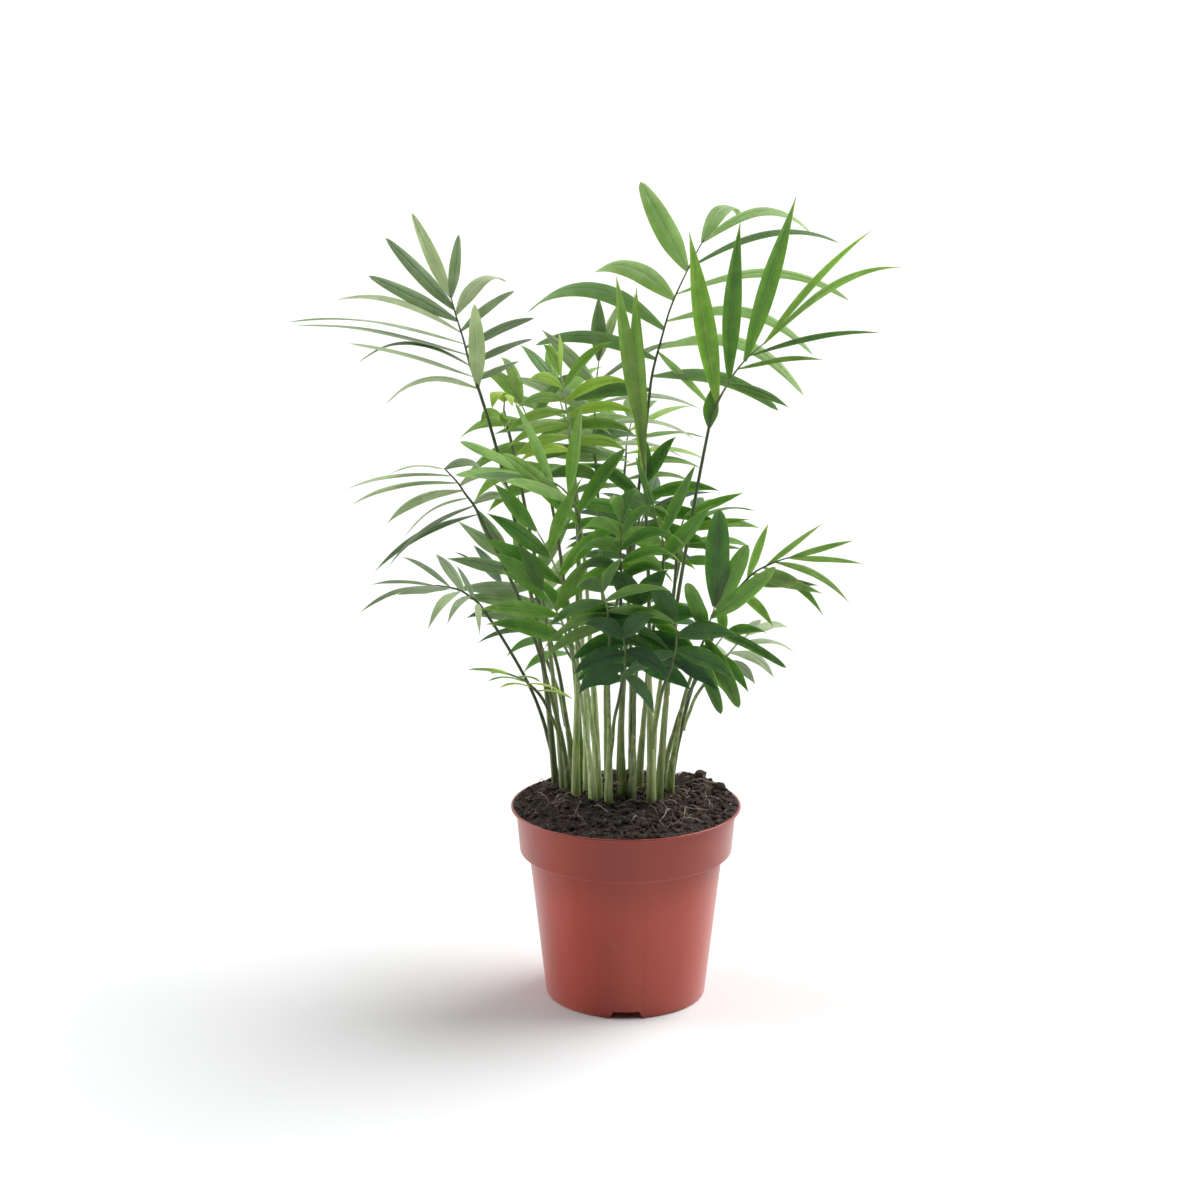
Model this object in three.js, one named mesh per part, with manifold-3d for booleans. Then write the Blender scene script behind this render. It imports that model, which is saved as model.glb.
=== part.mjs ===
// A young parlour palm in a 12 cm nursery pot. Millimetres, +Z up, origin at the centre of the pot's
// underside, and the side that is meant to be seen first faces -Y.
//
// The pot is a thin shell with drainage channels under its floor, filled with potting soil. Slender canes
// rise from the soil, each tapering into a leaf stalk, and every stalk carries a frond: a three-sided rib
// with leaflets on both sides. Small fronds share a cane: their own stalk leaves its side.
import * as THREE from 'three';
import { mergeVertices } from 'three/addons/utils/BufferGeometryUtils.js';
import Module from 'manifold-3d';

const wasm = await Module();
wasm.setup();

// ---- Driving dimensions ----

const GAP = 0.3; // clearance between pieces that meet

const POT = {
  height: 103,
  rimRadius: 60,
  lipHeight: 1.3,
  lipWidth: 1.4, // of the flat top
  flare: 3.4, // the inner wall opens out over this height to the lip
  collarRadius: 57.4, // under the lip
  collarFootRadius: 55.4, // above the step
  collarHeight: 24.6,
  neckRadius: 50.7,
  baseRadius: 42,
  edgeRadius: 1.2,
  wall: 1.3,
  segments: 40,
};
const DRAIN = {
  channels: 3, width: 17.4, topWidth: 13.4, height: 3.8, inner: 20, holeRadius: 3.5, holeAt: 30,
};
const SOIL = {
  edgeDepth: 0.6, // below the rim, at the wall
  mound: 6, // how much higher the middle is
  lump: 1.2, // height of the lumps
  waves: [[0.21, 1.3], [0.17, 0.4], [0.43, -0.36]], // how the lumps repeat: see soilHeight
  heaps: [[38, 31, 13, 3.5], [-30, 37, 11, 1.8]], // x, y, radius and height
  rings: 6,
  segments: 30,
};

const CANE = {
  footRadius: 2.1,
  neckRadius: 0.95,
  taperEnd: 0.4, // share of the length in which most of the taper happens
  taper: 0.65, // and how much of it
  lean: 0.15, // how far out it has leaned
  rise: 0.5, // when it has climbed this share of its height
  sink: 4, // depth of its foot below the soil
  sides: 5,
  steps: 6,
};
const STALK = { footRadius: 1.0, steps: 4 }; // a side frond's own stalk
const RIB = { baseRadius: 1.15, tipRadius: 0.75, arch: 0.5, sides: 3, steps: 4 };
const LEAFLET = {
  width: 8.5, // across its widest place
  slimness: 0.011, // thickness as a share of the length
  leastThickness: 0.6,
  lift: 10, // degrees it stands up out of the blade's plane
  widest: 0.42, // where along the leaflet it is widest
  rootShare: 0.2, // width at the root as a share of the greatest
  bends: 12, // steps in which its droop is worked out
  sag: 1.5, // how its droop gathers towards the tip
  span: [0.03, 0.985], // the stretch of the rib that carries leaflets
  chance: { open: 8, lift: 10, droop: 0.3 }, // how much each may differ from the rule
  swings: [0, 9, -9, 18, -18], // degrees tried in turn to clear its neighbours
  short: 36, // length under which a leaflet has fewer sections
};
const LONG_STATIONS = [0, 4, 8, 12]; // bends at which a leaflet has a section; the last is its tip
const SHORT_STATIONS = [0, 5, 12];

// ---- Fronds ----
//
// foot: where the cane leaves the soil, x and y.
// cane, at: the cane that carries a side frond, and how far up it.
// base, tip: the two ends of the rib.  face: azimuth and elevation in degrees of the blade's upper side.
// left, right: the leaflets of each side as the upper side is seen, from base to tip:
//   lengths in mm;  open: degrees from the rib;  droop: how far they hang;  width: across their widest place;
//   level: how far they turn their faces up.
//   Each of these is one value for all, one for each, or the first and the last.
//   span: the stretch of the rib that carries them, where it isn't the usual one.
// stray: one leaflet more, at the base of the rib or at t along it.

/** Leaflet lengths of an ordinary frond: longest about the middle. */
const fan = (count, reach) => Array.from({ length: count }, (_, i) => (
  Math.round(reach * (0.7 + 0.3 * Math.sin((Math.PI * (i + 0.7)) / (count + 0.2))))
));

const FRONDS = [
  {
    name: 'top_left', foot: [-37, 26], girth: 0.75,
    base: [-75, 10, 319], tip: [-89, 18, 366], face: [-90, 35],
    left: {
      lengths: [52, 68, 62, 88, 90, 66, 50, 50, 49], open: [50, 52, 46, 57, 54, 44, 43, 32, 9],
      droop: [1.5, 0.25, 1.3, 0.4, 0.6, 0.7, 0.1, 0, 0], width: [7, 4, 5, 5, 5.5, 5, 8, 8, 7.5],
      level: [0.7, 0.7, 0.7, 0.7, 0.7, 0.6, 0.2, 0.1, 0.1],
    },
    right: {
      lengths: [24, 34, 38, 34, 37, 33], open: [84, 78, 74, 64, 46, 22],
      droop: [0.2, 0.4, 0.4, 0.5, 1.5, 0], level: 0.5, width: [4.5, 5, 5.5, 6, 8, 6.5],
    },
    stray: { length: 46, open: 20, lift: 135, droop: 0, level: 0, width: 9.5 },
  },
  {
    name: 'top_centre', foot: [-3, 34], girth: 0.9, base: [12, 29, 314], tip: [40, 52, 391], face: [-110, 25],
    left: {
      lengths: [42, 68, 87, 52, 55, 47], open: [96, 78, 68, 66, 49, 6],
      droop: [0.5, 0.9, 1.6, 1.2, 0, 1.7], level: 0.2, width: [8, 8, 10, 12, 12.5, 9],
    },
    right: {
      lengths: [74, 92, 84, 94, 82, 70], open: [74, 67, 62, 56, 38, 24],
      droop: [1.0, 1.75, 1.6, 1.05, 0.95, 1.5], level: 0.5, width: [8, 9, 7.5, 6.5, 6, 7.5],
    },
    stray: { hand: -1, t: 0.27, length: 42, open: 118, lift: 10, droop: 0.2, level: 0.2, width: 4.5 },
  },
  {
    name: 'top_right', foot: [17, -5], girth: 0.95, base: [41, -6, 301], tip: [68, -22, 348], face: [-90, 10],
    left: {
      lengths: [22, 91, 84, 94, 90], open: [8, 29, 27, 24, 13],
      droop: [0, 0, 0, 0, 0.35], level: 0.2, width: [8, 11, 10.5, 9.5, 4],
    },
    right: {
      span: [0.4, 0.985], lengths: [34, 48, 75, 90], open: [66, 28, 24, -3],
      droop: [0.5, 0.5, 0.45, 0.75], level: 0.6, width: [6, 4, 4.5, 6],
    },
  },
  {
    name: 'spear', foot: [13, -15], girth: 1.1, base: [9, -18, 278], tip: [7.5, -20, 300], face: [-90, 0],
    left: { lengths: [92, 84], open: [3, 2], droop: [0, 0], level: 0, lift: 0, width: [7, 8] },
    right: { lengths: [90, 74], open: [2, 1], droop: [0, 0], level: 0, lift: 0, width: 7 },
  },
  {
    name: 'left_outer', foot: [-29, 8], girth: 0.7,
    base: [-75, 2, 256], tip: [-92, -6, 282], face: [-98, 32],
    left: {
      lengths: [62, 56, 42, 46, 60, 62, 36], open: [72, 70, 60, 54, 46, 38, 24],
      droop: [1.0, 1.1, 1.3, 1.0, 0.8, 0.6, 0.7], level: 0.8, width: [5, 5, 4.5, 7, 5.5, 5, 4],
    },
    right: { lengths: [30, 34, 32], open: [85, 105], droop: [2.4, 3.0], level: 0.6, width: 6.5 },
  },
  {
    name: 'lower_left', foot: [-36, 38], girth: 0.6,
    base: [-76, 8, 208], tip: [-98, 0, 220], face: [-120, 65],
    left: {
      lengths: [34, 42, 46, 36, 44], open: [62, 56, 48, 34, 14], droop: [1.2, 1.0, 1.1, 0.3, 0.9],
      level: 0.8, width: [4, 4.5, 5, 9, 4.5],
    },
    right: { lengths: [26, 32, 34, 34], open: [64, 14], droop: 0.5, level: 0.8, width: [5, 8, 5, 4.5] },
  },
  {
    name: 'outer_right', foot: [24, 24], girth: 0.7, base: [55, 8, 212], tip: [83, -2, 235], face: [-85, 40],
    left: { lengths: [28, 32, 38, 36], open: [44, 30, 14, 6], droop: [0.2, 0], level: 0.3, width: [6, 4] },
    right: {
      lengths: [28, 44, 45, 46, 50, 42], open: [78, 42, 44, 46, 30, 14],
      droop: [0.8, 0.2, 0.2, 1.2, 1.0, 0.3], level: 0.3, width: [6, 6.5, 6.5, 5, 4.5, 4],
    },
  },
  {
    name: 'right_broad', foot: [23, 6], base: [35, -34, 190], tip: [43, -54, 222], face: [-95, 30],
    left: { lengths: [30, 34, 58], open: [60, 32, 12], droop: [0.4, 0], level: 0.2, width: [9, 10, 14] },
    right: {
      lengths: [34, 22, 40, 46, 54, 44], open: [140, 108, 124, 78, 27, 9],
      droop: [0.2, 0.1, 0.2, 0.4, 0, 0], level: 0.3, width: [8, 8, 9, 5.5, 10, 11],
    },
  },
  {
    name: 'left_bright', foot: [-26, -2], base: [-24, -22, 256], tip: [-49, -40, 286], face: [-70, 45],
    left: { lengths: [68, 61, 58, 46], open: [34, 12], droop: [0.35, 0.15], level: 0.4, width: 10 },
    right: { lengths: [40, 44, 44, 40], open: [60, 16], droop: [0.4, 0.2], level: 0.3, width: 9 },
  },
  {
    name: 'small_left', foot: [-33, 15], girth: 0.7, base: [-61, 14, 300], tip: [-62, 8, 314],
    left: { lengths: [15, 17], open: [30, 8], droop: 2.4, level: 0.2, width: 7 },
    right: { lengths: [20, 26, 24], open: [60, 14], droop: [2.4, 2.7], level: 0.2, width: 8 },
  },
  {
    name: 'centre_lime', foot: [-20, 4], base: [-28, 4, 288], tip: [-33, -8, 330], face: [-75, 45],
    left: { lengths: fan(7, 40), open: [74, 8], droop: [1.0, 0.7], level: 0.3, width: 5.5 },
    right: { lengths: fan(6, 38), open: [85, 12], droop: [1.2, 0.8], level: 0.3, width: 6 },
  },
  {
    name: 'centre_grey', foot: [-9, 21], base: [-16, 36, 278], tip: [-14, 46, 330], face: [-80, 30],
    left: { lengths: [40, 44, 44, 40, 34], open: [75, 10], droop: [0.5, 0.1], level: 0.2 },
    right: { lengths: [50, 58, 58, 50, 36], open: [80, 10], droop: [1.2, 0.5], level: 0.8, width: 6.5 },
  },
  {
    name: 'centre_left', foot: [-23, 24], base: [-40, 24, 266], tip: [-54, 34, 308], face: [-110, 45],
    sides: { lengths: fan(5, 44), open: [80, 10], droop: [1.7, 1.2], level: 0.3, width: 7 },
  },
  {
    name: 'centre_front', foot: [-14, -4], base: [-28, -26, 212], tip: [-45, -42, 258], face: [-95, 40],
    left: { lengths: [50, 54, 46, 36], open: [34, 8], droop: [0.4, 0.15], level: 0.3, width: 9 },
    right: { lengths: [44, 48, 44, 34], open: [56, 14], droop: [1.0, 0.4], level: 0.3, width: 8 },
  },
  {
    name: 'centre_low', foot: [-2, -6], base: [-3, -32, 226], tip: [-3, -48, 264], face: [-80, 30],
    sides: { lengths: fan(5, 38), open: [50, 8], droop: [2.0, 1.3], level: 0.2, width: 7 },
  },
  {
    name: 'curl', foot: [7, 8], base: [18, -16, 230], tip: [14, -30, 262], face: [-80, 25],
    left: { lengths: [28, 32, 34], open: [50, 10], droop: [1.2, 0.9], level: 0.3, width: 9 },
    right: { lengths: [40, 44, 40], open: [34, 6], droop: [0.2, 0.1], level: 0.2, width: [10, 4.5] },
  },
  {
    name: 'rosette', foot: [-9, -16], base: [-9, -44, 202], tip: [-12, -64, 232], face: [-92, 35],
    sides: { lengths: fan(5, 37), open: [95, 24], droop: [1.1, 0.7], level: 0.1, width: 8 },
  },
  {
    name: 'lower_dark', foot: [3, -6], base: [5, -26, 180], tip: [6, -42, 220], face: [-88, 25],
    sides: { lengths: fan(5, 36), open: [95, 26], droop: [1.1, 0.6], level: 0.1, width: 12 },
  },
  {
    name: 'right_drop', foot: [19, 14], base: [37, -12, 176], tip: [49, -24, 200], face: [-70, 35],
    sides: { lengths: fan(3, 28), open: [105, 30], droop: [1.2, 0.8], level: 0.1, width: 6.5 },
  },
  {
    name: 'left_sweep', foot: [-17, -12], base: [-29, -34, 198], tip: [-42, -44, 228], face: [-100, 35],
    left: { lengths: [46, 44, 34], open: [44, 12], droop: [0.6, 0.3], level: 0.2, width: 8.5 },
    right: { lengths: [34, 38, 30], open: [58, 14], droop: [1.0, 0.5], level: 0.2, width: 8 },
  },
  {
    name: 'left_rear', foot: [-28, 34], base: [-42, 44, 190], tip: [-62, 54, 222], face: [-100, 40],
    sides: { lengths: fan(5, 44), open: [65, 12], droop: [0.3, 0.1], level: 0.2 },
  },
  {
    name: 'rear_centre', foot: [4, 40], base: [0, 74, 256], tip: [4, 106, 288],
    sides: { lengths: fan(6, 46), open: [80, 16], droop: [1.0, 0.7], level: 0.7, width: 7 },
  },
  {
    name: 'rear_left', foot: [-15, 38], base: [-27, 60, 268], tip: [-38, 84, 312],
    sides: { lengths: fan(6, 44), open: [80, 16], droop: [0.9, 0.7], level: 0.5 },
  },
  {
    name: 'rear_right', foot: [14, 35], base: [28, 62, 214], tip: [40, 96, 240],
    sides: { lengths: fan(5, 40), open: [80, 16], droop: [0.9, 0.7], level: 0.5 },
  },
  {
    name: 'left_low', cane: 'left_outer', at: 0.18, base: [-46, -15, 168], tip: [-61, -32, 182],
    sides: { lengths: fan(4, 26), open: [85, 24], droop: [0.9, 0.6], level: 0.5, width: 5.5 },
  },
  {
    name: 'rear_low', cane: 'rear_centre', at: 0.25, base: [8, 66, 172], tip: [14, 98, 188],
    sides: { lengths: fan(4, 36), open: [85, 20], droop: [1.2, 0.9], level: 0.5 },
  },
  {
    name: 'rear_low_left', cane: 'rear_left', at: 0.25, base: [-30, 60, 168], tip: [-44, 88, 184],
    sides: { lengths: fan(4, 36), open: [85, 20], droop: [1.2, 0.9], level: 0.5 },
  },
  {
    name: 'right_rear_low', cane: 'outer_right', at: 0.3, base: [48, 38, 166], tip: [66, 56, 180],
    sides: { lengths: fan(4, 34), open: [85, 20], droop: [1.4, 1.0], level: 0.5 },
  },
  {
    name: 'right_upper', cane: 'top_right', at: 0.3, base: [26, 8, 234], tip: [30, 5, 256], face: [-85, 25],
    left: { lengths: [24, 40], open: [34, 3], droop: 0, level: 0.3, width: 4.5 },
    right: { lengths: [34, 36, 38], open: [76, 62, 42], droop: [0.3, 0.1], level: 0.3, width: [4, 5] },
  },
  {
    name: 'centre_rear', cane: 'top_centre', at: 0.35, base: [4, 58, 220], tip: [14, 90, 246],
    sides: { lengths: fan(5, 42), open: [80, 16], droop: [0.9, 0.7], level: 0.5 },
  },
  {
    name: 'left_back', cane: 'left_rear', at: 0.35, base: [-50, 74, 178], tip: [-68, 94, 200],
    sides: { lengths: fan(4, 38), open: [80, 16], droop: [0.9, 0.6], level: 0.5 },
  },
  {
    name: 'front_low', cane: 'spear', at: 0.2, base: [22, -42, 188], tip: [24, -52, 214], face: [-86, 30],
    sides: { lengths: fan(4, 33), open: [90, 24], droop: [1.0, 0.7], level: 0.1, width: 10.5 },
  },
  {
    name: 'front_low_left', cane: 'rosette', at: 0.25,
    base: [-2, -46, 182], tip: [-2, -56, 207], face: [-94, 30],
    sides: { lengths: fan(4, 29), open: [105, 40], droop: [1.5, 1.1], level: 0.1, width: 10.5 },
  },
  {
    name: 'centre_inner', cane: 'centre_grey', at: 0.4,
    base: [2, 18, 234], tip: [10, 8, 272], face: [-80, 30],
    sides: { lengths: fan(5, 44), open: [80, 12], droop: [1.0, 0.6], level: 0.3, width: 7.5 },
  },
];

// ---- Shared maths ----

const UP = new THREE.Vector3(0, 0, 1);
const vector = ([x, y, z]) => new THREE.Vector3(x, y, z);
const radians = THREE.MathUtils.degToRad;
const mix = THREE.MathUtils.lerp;

/** Unit vector from an azimuth (degrees from +X towards +Y) and an elevation. */
function heading(azimuth, elevation) {
  const a = radians(azimuth);
  const e = radians(elevation);
  return new THREE.Vector3(Math.cos(a) * Math.cos(e), Math.sin(a) * Math.cos(e), Math.sin(e));
}

/** The part of v that is square to the unit vector axis, made a unit vector. */
function squareTo(v, axis) {
  return v.clone().addScaledVector(axis, -v.dot(axis)).normalize();
}

/** Repeatable random numbers from 0 to 1. */
function randomFrom(seed) {
  let state = seed * 7919 + 17;
  return () => {
    state = (state * 1664525 + 1013904223) % 4294967296;
    return state / 4294967296;
  };
}

// ---- Solids ----

/** A closed mesh from points and triangles. */
function closedGeometry(points, triangles) {
  const geometry = new THREE.BufferGeometry();
  geometry.setAttribute('position', new THREE.Float32BufferAttribute(points.flatMap((p) => p.toArray()), 3));
  geometry.setIndex(triangles.flat());
  return geometry;
}

function toSolid(geometry) {
  const bare = geometry.clone();
  bare.deleteAttribute('normal');
  bare.deleteAttribute('uv');
  const merged = mergeVertices(bare, 1e-4);
  return new wasm.Manifold(new wasm.Mesh({
    numProp: 3,
    vertProperties: merged.attributes.position.array,
    triVerts: Uint32Array.from(merged.index.array),
  }));
}

function toGeometry(solid) {
  const mesh = solid.getMesh();
  const geometry = new THREE.BufferGeometry();
  geometry.setAttribute('position', new THREE.BufferAttribute(mesh.vertProperties.slice(), 3));
  geometry.setIndex(new THREE.BufferAttribute(mesh.triVerts.slice(), 1));
  geometry.computeVertexNormals();
  return geometry;
}

/** Joins rings of equally many points into one closed skin; a last ring of one point makes a tip. */
function skin(rings) {
  const sides = rings[0].length;
  const points = rings.flat();
  const triangles = [];
  for (let i = 2; i < sides; i++) triangles.push([0, i, i - 1]);
  for (let r = 0; r + 1 < rings.length; r++) {
    const low = r * sides;
    const high = low + sides;
    for (let i = 0; i < sides; i++) {
      const next = (i + 1) % sides;
      if (rings[r + 1].length === 1) {
        triangles.push([low + i, low + next, high]);
      } else {
        triangles.push([low + i, low + next, high + next], [low + i, high + next, high + i]);
      }
    }
  }
  if (rings.at(-1).length > 1) {
    const top = (rings.length - 1) * sides;
    for (let i = 2; i < sides; i++) triangles.push([top, top + i - 1, top + i]);
  }
  return closedGeometry(points, triangles);
}

/** The place on a limb's straight-sided middle line at t. */
function chordPoint(curve, steps, t) {
  const low = Math.min(steps - 1, Math.floor(t * steps));
  return curve.getPoint(low / steps).lerp(curve.getPoint((low + 1) / steps), t * steps - low);
}

/** The rings of a tapering limb along a curve. */
function limbRings(curve, steps, sides, radiusAt) {
  const rings = [];
  for (let s = 0; s <= steps; s++) {
    const t = s / steps;
    const along = curve.getTangent(t);
    const across = squareTo(new THREE.Vector3(1, 0, 0), along);
    const third = along.clone().cross(across);
    const centre = curve.getPoint(t);
    const radius = radiusAt(t);
    rings.push(Array.from({ length: sides }, (_, i) => {
      const angle = (2 * Math.PI * i) / sides;
      return centre.clone()
        .addScaledVector(across, radius * Math.cos(angle))
        .addScaledVector(third, radius * Math.sin(angle));
    }));
  }
  return rings;
}

// ---- Pot and soil ----

/** Outer radius of the pot at a height. */
function potOutline() {
  const { height, rimRadius, lipHeight, neckRadius, baseRadius, edgeRadius } = POT;
  const { collarRadius, collarFootRadius } = POT;
  const lipBottom = height - lipHeight;
  const seam = height - POT.collarHeight;
  return [
    [baseRadius - edgeRadius, 0],
    [baseRadius - 0.3 * edgeRadius, 0.3 * edgeRadius],
    [baseRadius, edgeRadius],
    [neckRadius, seam],
    [collarFootRadius - 0.8, seam + 0.2],
    [collarFootRadius, seam + 1],
    [collarRadius, lipBottom - 0.6],
    [collarRadius + 0.6, lipBottom],
    [rimRadius - 0.4, lipBottom],
    [rimRadius, lipBottom + 0.4],
    [rimRadius, height - 0.5],
    [rimRadius - 0.4, height],
  ];
}

/** The pot's inner wall, from the lip down to the neck: the outer wall's line, one wall thickness in. */
function potInside(clearance) {
  const { height, collarHeight, collarRadius, collarFootRadius } = POT;
  const { neckRadius, rimRadius, lipWidth, flare } = POT;
  const wall = POT.wall + clearance;
  const seam = height - collarHeight;
  return [
    [rimRadius - lipWidth - clearance, height],
    [collarRadius - wall, height - flare],
    [collarFootRadius - wall, seam + 2.6],
    [neckRadius - wall, seam + 1.6],
  ];
}

function latheSolid(profile, segments) {
  const points = profile.map(([r, z]) => new THREE.Vector2(r, z));
  return toSolid(new THREE.LatheGeometry(points, segments).rotateX(Math.PI / 2));
}

/** A drainage channel: a trapezoid, wider at the floor, run outward from the radius start. */
function channelSolid(start, length, turn) {
  const { width, topWidth, height } = DRAIN;
  const below = 1; // how far it is carried on under the floor
  const foot = width / 2 + (below * (width - topWidth)) / (2 * height);
  const section = new THREE.Shape([
    new THREE.Vector2(-foot, -below),
    new THREE.Vector2(foot, -below),
    new THREE.Vector2(topWidth / 2, height),
    new THREE.Vector2(-topWidth / 2, height),
  ]);
  const bar = new THREE.ExtrudeGeometry(section, { depth: length, bevelEnabled: false });
  bar.rotateX(Math.PI / 2).rotateZ(Math.PI / 2).translate(start, 0, 0).rotateZ(turn);
  return toSolid(bar);
}

function boxSolid(width, depth, height, x, y, z, turn) {
  const box = new THREE.BoxGeometry(width, depth, height);
  box.translate(x, y, z + height / 2);
  box.rotateZ(turn);
  return toSolid(box);
}

function potSolid() {
  const { wall, baseRadius, segments } = POT;
  const floor = [[baseRadius - wall - 0.2, wall + 0.6], [0, wall + 0.6]];
  let pot = latheSolid([[0, 0], ...potOutline(), ...potInside(0), ...floor], segments);
  for (let i = 0; i < DRAIN.channels; i++) {
    const turn = -Math.PI / 2 + (2 * Math.PI * i) / DRAIN.channels;
    const reach = baseRadius - wall - DRAIN.inner;
    const middle = DRAIN.inner + reach / 2;
    const housing = boxSolid(reach + wall, DRAIN.width + 2 * wall, DRAIN.height + wall, middle, 0, 0, turn);
    const channel = channelSolid(DRAIN.inner + wall / 2, reach + 8, turn);
    const hole = new THREE.CylinderGeometry(DRAIN.holeRadius, DRAIN.holeRadius, 12, 12);
    hole.rotateX(Math.PI / 2).translate(DRAIN.holeAt, 0, 0).rotateZ(turn);
    pot = pot.add(housing).subtract(channel).subtract(toSolid(hole));
  }
  return pot;
}

/** Height of the soil at a place: a low mound with lumps and heaps. */
function soilHeight(x, y) {
  const { edgeDepth, mound, lump, waves, heaps } = SOIL;
  const out = Math.min(1, Math.hypot(x, y) / (POT.rimRadius - POT.lipWidth));
  const broad = Math.sin(waves[0][0] * x + waves[0][1]) * Math.cos(waves[1][0] * y + waves[1][1]);
  const fine = 0.6 * Math.sin(waves[2][0] * x + waves[2][1] * y);
  const heaped = heaps.reduce((sum, [cx, cy, radius, height]) => (
    sum + height * Math.exp(-(((x - cx) ** 2 + (y - cy) ** 2) / radius ** 2) * 2)
  ), 0);
  return POT.height - edgeDepth + mound * (1 - out * out) + lump * (broad + fine) * (1 - out ** 3) + heaped;
}

/** The soil: a lathe form whose flat top is then lifted to the mound, ring by ring. */
function soilSolid() {
  const top = POT.height;
  const wallLine = potInside(GAP).slice(1);
  const rim = POT.rimRadius - POT.lipWidth - GAP - SOIL.edgeDepth;
  const bottom = DRAIN.height + POT.wall + GAP;
  const rings = Array.from({ length: SOIL.rings }, (_, i) => [(rim * (i + 1)) / SOIL.rings, top]);
  const side = [...wallLine, [POT.baseRadius - POT.wall - GAP, bottom]];
  const profile = [[0, top], ...rings, ...side, [0, bottom]].reverse();
  const points = profile.map(([r, z]) => new THREE.Vector2(r, z));
  const geometry = new THREE.LatheGeometry(points, SOIL.segments).rotateX(Math.PI / 2);
  const place = geometry.attributes.position;
  for (let i = 0; i < place.count; i++) {
    if (place.getZ(i) > top - 0.01) place.setZ(i, soilHeight(place.getX(i), place.getY(i)));
  }
  return toSolid(geometry);
}

// ---- Canes, stalks and ribs ----

/** The line of a stalk: it rises steeply from its start, then leans out to the frond's base. */
function stalkCurve(start, base) {
  const { lean, rise } = CANE;
  const bend = new THREE.Vector3(
    mix(start.x, base.x, lean),
    mix(start.y, base.y, lean),
    mix(start.z, base.z, rise),
  );
  return new THREE.QuadraticBezierCurve3(start, bend, base);
}

/** The rib goes on from its stalk in the same direction and arches over to its tip. */
function ribCurve(stalk, tip) {
  const base = stalk.getPoint(1);
  const ahead = stalk.getTangent(1).multiplyScalar(base.distanceTo(tip) * RIB.arch);
  return new THREE.QuadraticBezierCurve3(base, base.clone().add(ahead), tip);
}

/** A cane is stout in its leaf sheaths and slender above them. */
function caneRadius(girth, t) {
  const { taperEnd, taper } = CANE;
  const foot = CANE.footRadius * girth;
  const neck = Math.min(foot, CANE.neckRadius);
  const waist = mix(foot, neck, taper);
  return t < taperEnd ? mix(foot, waist, t / taperEnd) : mix(waist, neck, (t - taperEnd) / (1 - taperEnd));
}

// ---- Leaflets ----

/** Half width along a leaflet, as a share of the greatest. */
function leafletOutline(u) {
  const { widest, rootShare } = LEAFLET;
  if (u < widest) return rootShare + (1 - rootShare) * Math.sin((Math.PI / 2) * (u / widest));
  return Math.cos((Math.PI / 2) * ((u - widest) / (1 - widest))) ** 0.8;
}

/** The places of one leaflet's sections: its middle line with the directions across and out of its face. */
function leafletLine({ root, direction, normal, length, droop }) {
  const across = direction.clone().cross(squareTo(normal, direction));
  const line = [];
  const place = root.clone();
  for (let j = 0; j <= LEAFLET.bends; j++) {
    const u = j / LEAFLET.bends;
    const along = direction.clone().addScaledVector(UP, -droop * u ** LEAFLET.sag).normalize();
    const side = squareTo(across, along);
    line.push({ u, centre: place.clone(), side, out: side.clone().cross(along) });
    place.addScaledVector(along, length / LEAFLET.bends);
  }
  return line;
}

function leafletSolid(leaflet) {
  const line = leafletLine(leaflet);
  const thickness = Math.max(LEAFLET.leastThickness, LEAFLET.slimness * leaflet.length);
  const stations = leaflet.length < LEAFLET.short ? SHORT_STATIONS : LONG_STATIONS;
  const rings = stations.map((station) => {
    const { u, centre, side, out } = line[station];
    const half = (leaflet.width / 2) * leafletOutline(u);
    if (u === 1) return [centre.clone()];
    return [
      centre.clone().addScaledVector(side, half),
      centre.clone().addScaledVector(out, -thickness),
      centre.clone().addScaledVector(side, -half),
    ];
  });
  return toSolid(skin(rings));
}

/** A leaflet's value from what its side says: one value for all, one for each, or the first and the last. */
function valueOf(values, i, count, ease = 1) {
  if (typeof values === 'number') return values;
  if (values.length === count) return values[i];
  const order = count > 1 ? i / (count - 1) : 1;
  return mix(values[0], values[1], order ** ease);
}

/** How each leaflet of a frond leaves the rib, from the frond's own sizes and a little chance. */
function leafletsOf(frond, rib, seed) {
  const random = randomFrom(seed);
  const { span, chance } = LEAFLET;
  const leaflets = [];
  for (const [hand, side] of [[1, frond.left ?? frond.sides], [-1, frond.right ?? frond.sides]]) {
    const count = side.lengths.length;
    const shift = hand > 0 ? 0 : 0.5;
    side.lengths.forEach((length, i) => {
      const t = count > 1 ? (i + shift) / (count - 1 + shift) : 1;
      leaflets.push({
        hand,
        t: mix(...(side.span ?? span), t),
        open: valueOf(side.open, i, count, 3) + chance.open * (random() - 0.5),
        lift: (side.lift ?? LEAFLET.lift) + chance.lift * (random() - 0.5),
        droop: valueOf(side.droop, i, count) * (1 + chance.droop * (random() - 0.5)),
        level: valueOf(side.level, i, count),
        length,
        width: valueOf(side.width ?? LEAFLET.width, i, count),
      });
    });
  }
  if (frond.stray) leaflets.push({ hand: 1, t: span[0], ...frond.stray });
  const face = frond.face ? heading(...frond.face) : UP;
  return leaflets.map((leaflet) => ({
    ...leaflet,
    face,
    root: chordPoint(rib, RIB.steps, leaflet.t),
    along: rib.getTangent(leaflet.t),
  }));
}

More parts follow.
